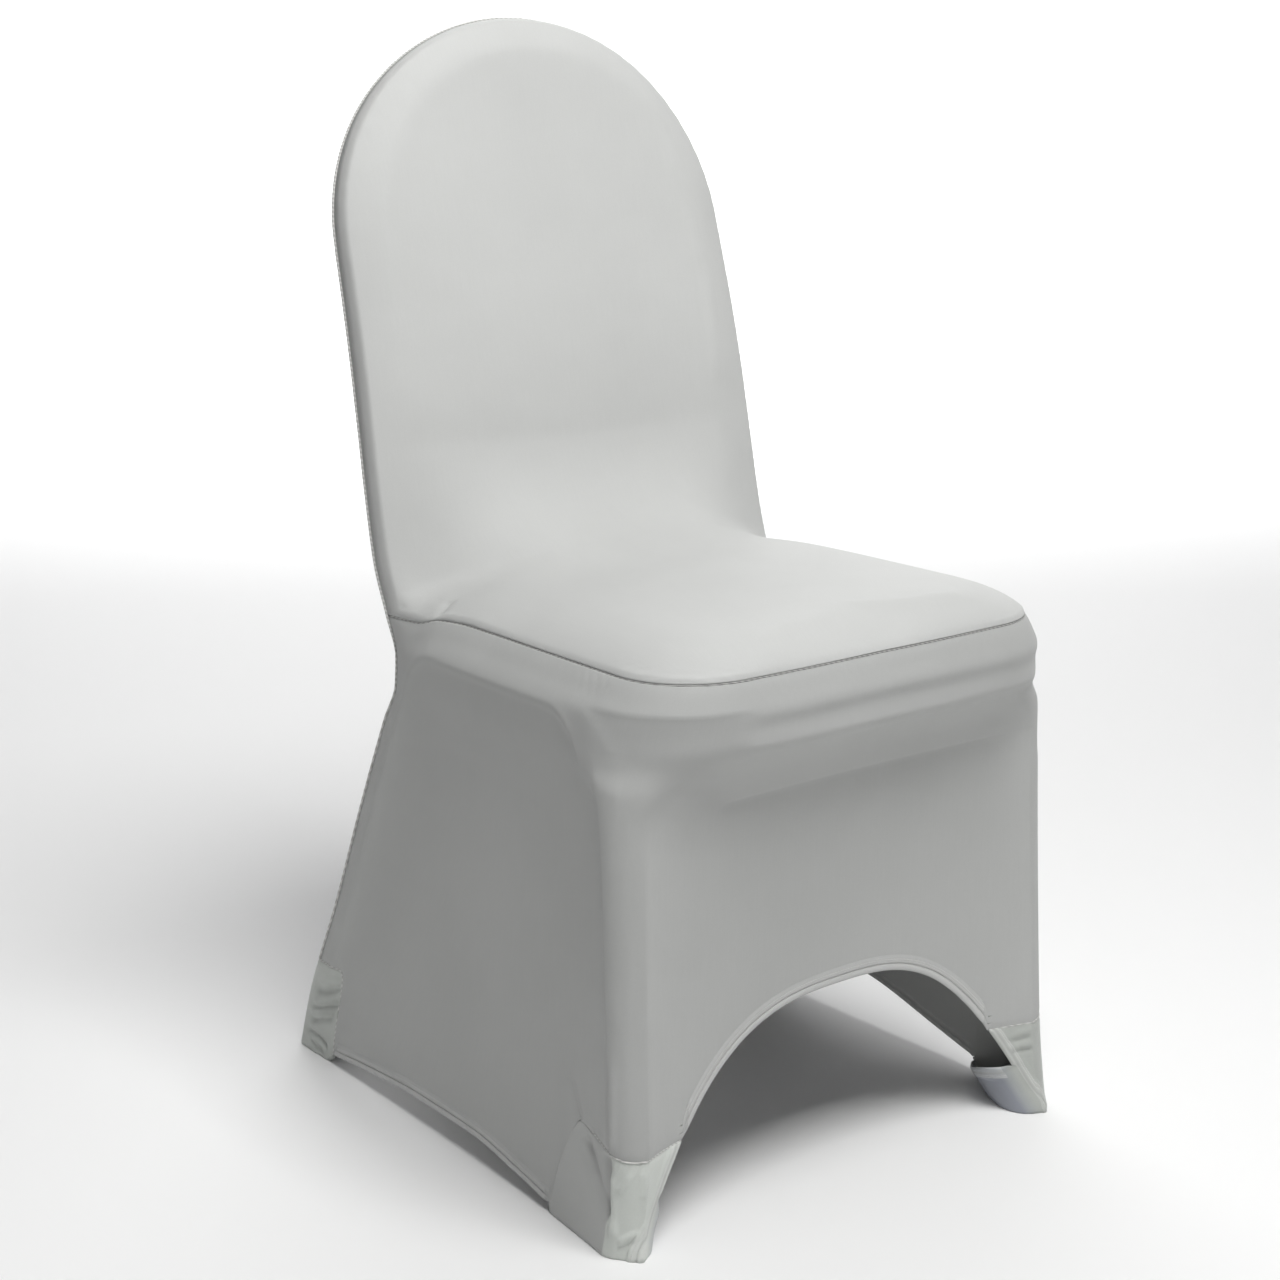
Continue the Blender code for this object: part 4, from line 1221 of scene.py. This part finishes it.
def studio_cove():
    """A pale floor that turns up into a round wall, so that no edge of it shows."""
    bm = bmesh.new()
    bmesh.ops.create_grid(bm, x_segments=1, y_segments=COVE_STEPS, size=1)
    for vert in list(bm.verts):
        if vert.co.x > 0:
            bm.verts.remove(vert)
    for vert in bm.verts:
        along = (vert.co.y + 1) / 2 * COVE_STEPS
        turn = ease((along - 4) / (COVE_STEPS - 6)) * math.pi / 2
        out = min(along / 4, 1) * FLOOR_RADIUS
        vert.co = Vector((out + COVE_RADIUS * math.sin(turn), 0, COVE_RADIUS * (1 - math.cos(turn))))
        if along > COVE_STEPS - 1.5:
            vert.co.z += COVE_RADIUS
    bmesh.ops.spin(bm, geom=bm.verts[:] + bm.edges[:], axis=(0, 0, 1), cent=(0, 0, 0), steps=96,
                   angle=2 * math.pi, use_merge=True, use_duplicate=False)
    bmesh.ops.remove_doubles(bm, verts=bm.verts, dist=0.001)
    bmesh.ops.recalc_face_normals(bm, faces=bm.faces)
    mesh = bpy.data.meshes.new("studio_floor")
    bm.to_mesh(mesh)
    bm.free()
    paint = new_paint("pale paper", Base_Color=(0.84, 0.84, 0.84, 1), Roughness=0.9)[0]
    floor = smooth_object("studio_floor", mesh, paint)


def softbox(name, place, target, size, power, colour):
    lamp = bpy.data.lights.new(name, "AREA")
    lamp.shape = "RECTANGLE"
    lamp.size, lamp.size_y = size
    lamp.energy = power
    lamp.color = colour
    item = put(bpy.data.objects.new(name, lamp))
    item.location = place
    item.rotation_euler = (Vector(target) - Vector(place)).to_track_quat("-Z", "Y").to_euler()


def camera_and_light():
    lens = bpy.data.cameras.new("camera")
    lens.lens = LENS
    lens.sensor_width = 36
    lens.shift_x, lens.shift_y = LENS_SHIFT
    item = put(bpy.data.objects.new("camera", lens))
    item.location = CAMERA_PLACE
    item.rotation_euler = (math.pi / 2 - CAMERA_DIP, 0, -CAMERA_TURN)
    bpy.context.scene.camera = item
    for lamp in SOFTBOXES:
        softbox(*lamp)
    world = bpy.data.worlds.new("studio")
    world.use_nodes = True
    sky = world.node_tree.nodes["Background"].inputs
    sky["Color"].default_value = (0.95, 0.97, 1.0, 1)
    sky["Strength"].default_value = WORLD_STRENGTH
    bpy.context.scene.world = world
    bpy.context.scene.view_settings.view_transform = "Standard"


GROUPS = {"knit": knit_group(), "stitch": stitch_group(), "clouds": wear_group()}


def main():
    studio_cove()
    camera_and_light()
    thread = thread_material("overlock thread", SEAM_DARK, SEAM_LIGHT)
    panel = back_and_seat(knit_material("stretch panel knit", *PANEL_TONES))
    drop = skirt(knit_material("skirt knit", *SKIRT_TONES))
    behind = rear(knit_material("rear panel knit", *PANEL_TONES))
    back_seam = sewn_line("back_seam", both_sides(back_seam_path()), SEAM_RADIUS, thread)
    # the seat seam's thread is darkened as painted shade of the groove between the stretch panel and the skirt
    groove = thread_material("seat seam thread and painted groove shade", SEAT_SEAM_THREAD_AND_SHADE_DARK, SEAT_SEAM_THREAD_AND_SHADE_LIGHT)
    seat_seam = sewn_line("seat_seam", both_sides(seat_seam_path()), GROOVE_RADIUS, groove)

    front = spread((9.2, 8.75, 26), (8.75, 8, 26), (8, FRONT_POCKET_START, 28))
    back = spread((REAR_POCKET_SHARE, 0.16, 26), (0.16, 0, 14))
    rear_places = back + spread((6, REAR_POCKET_END, 30))[1:]
    for word, side in (("left", -1), ("right", 1)):
        for end, wall, places in (("front", front_wall, front), ("rear", rear_wall, rear_places)):
            slot = f"{end}_{word}_pocket"
            # a pocket's tones scaled: painted light on the front left pocket, painted shade on the front right
            painted_light_and_shade_scale = POCKET_PAINTED_LIGHT_AND_SHADE.get(slot, 1.0)
            tones = [tuple(channel * painted_light_and_shade_scale for channel in tone) for tone in POCKET_TONES[:2]]
            paint = knit_material(f"{end} {word} pocket satin", *tones, *POCKET_TONES[2:], satin=True)
            piece = foot_pocket(f"{slot}_cloth", f"foot_pocket_{end}_{word}", wall, places, side, paint)
            sewn = [place for place in places if end == "rear" or not 7 < place < PLAIN_UNTIL]
            line = [settle(Vector((p.x * -side, p.y, p.z))) for p in pocket_seam_path(wall, sewn)]
            seam = sewn_line(f"{slot}_seam", line, SEAM_RADIUS * 0.75, thread)


main()
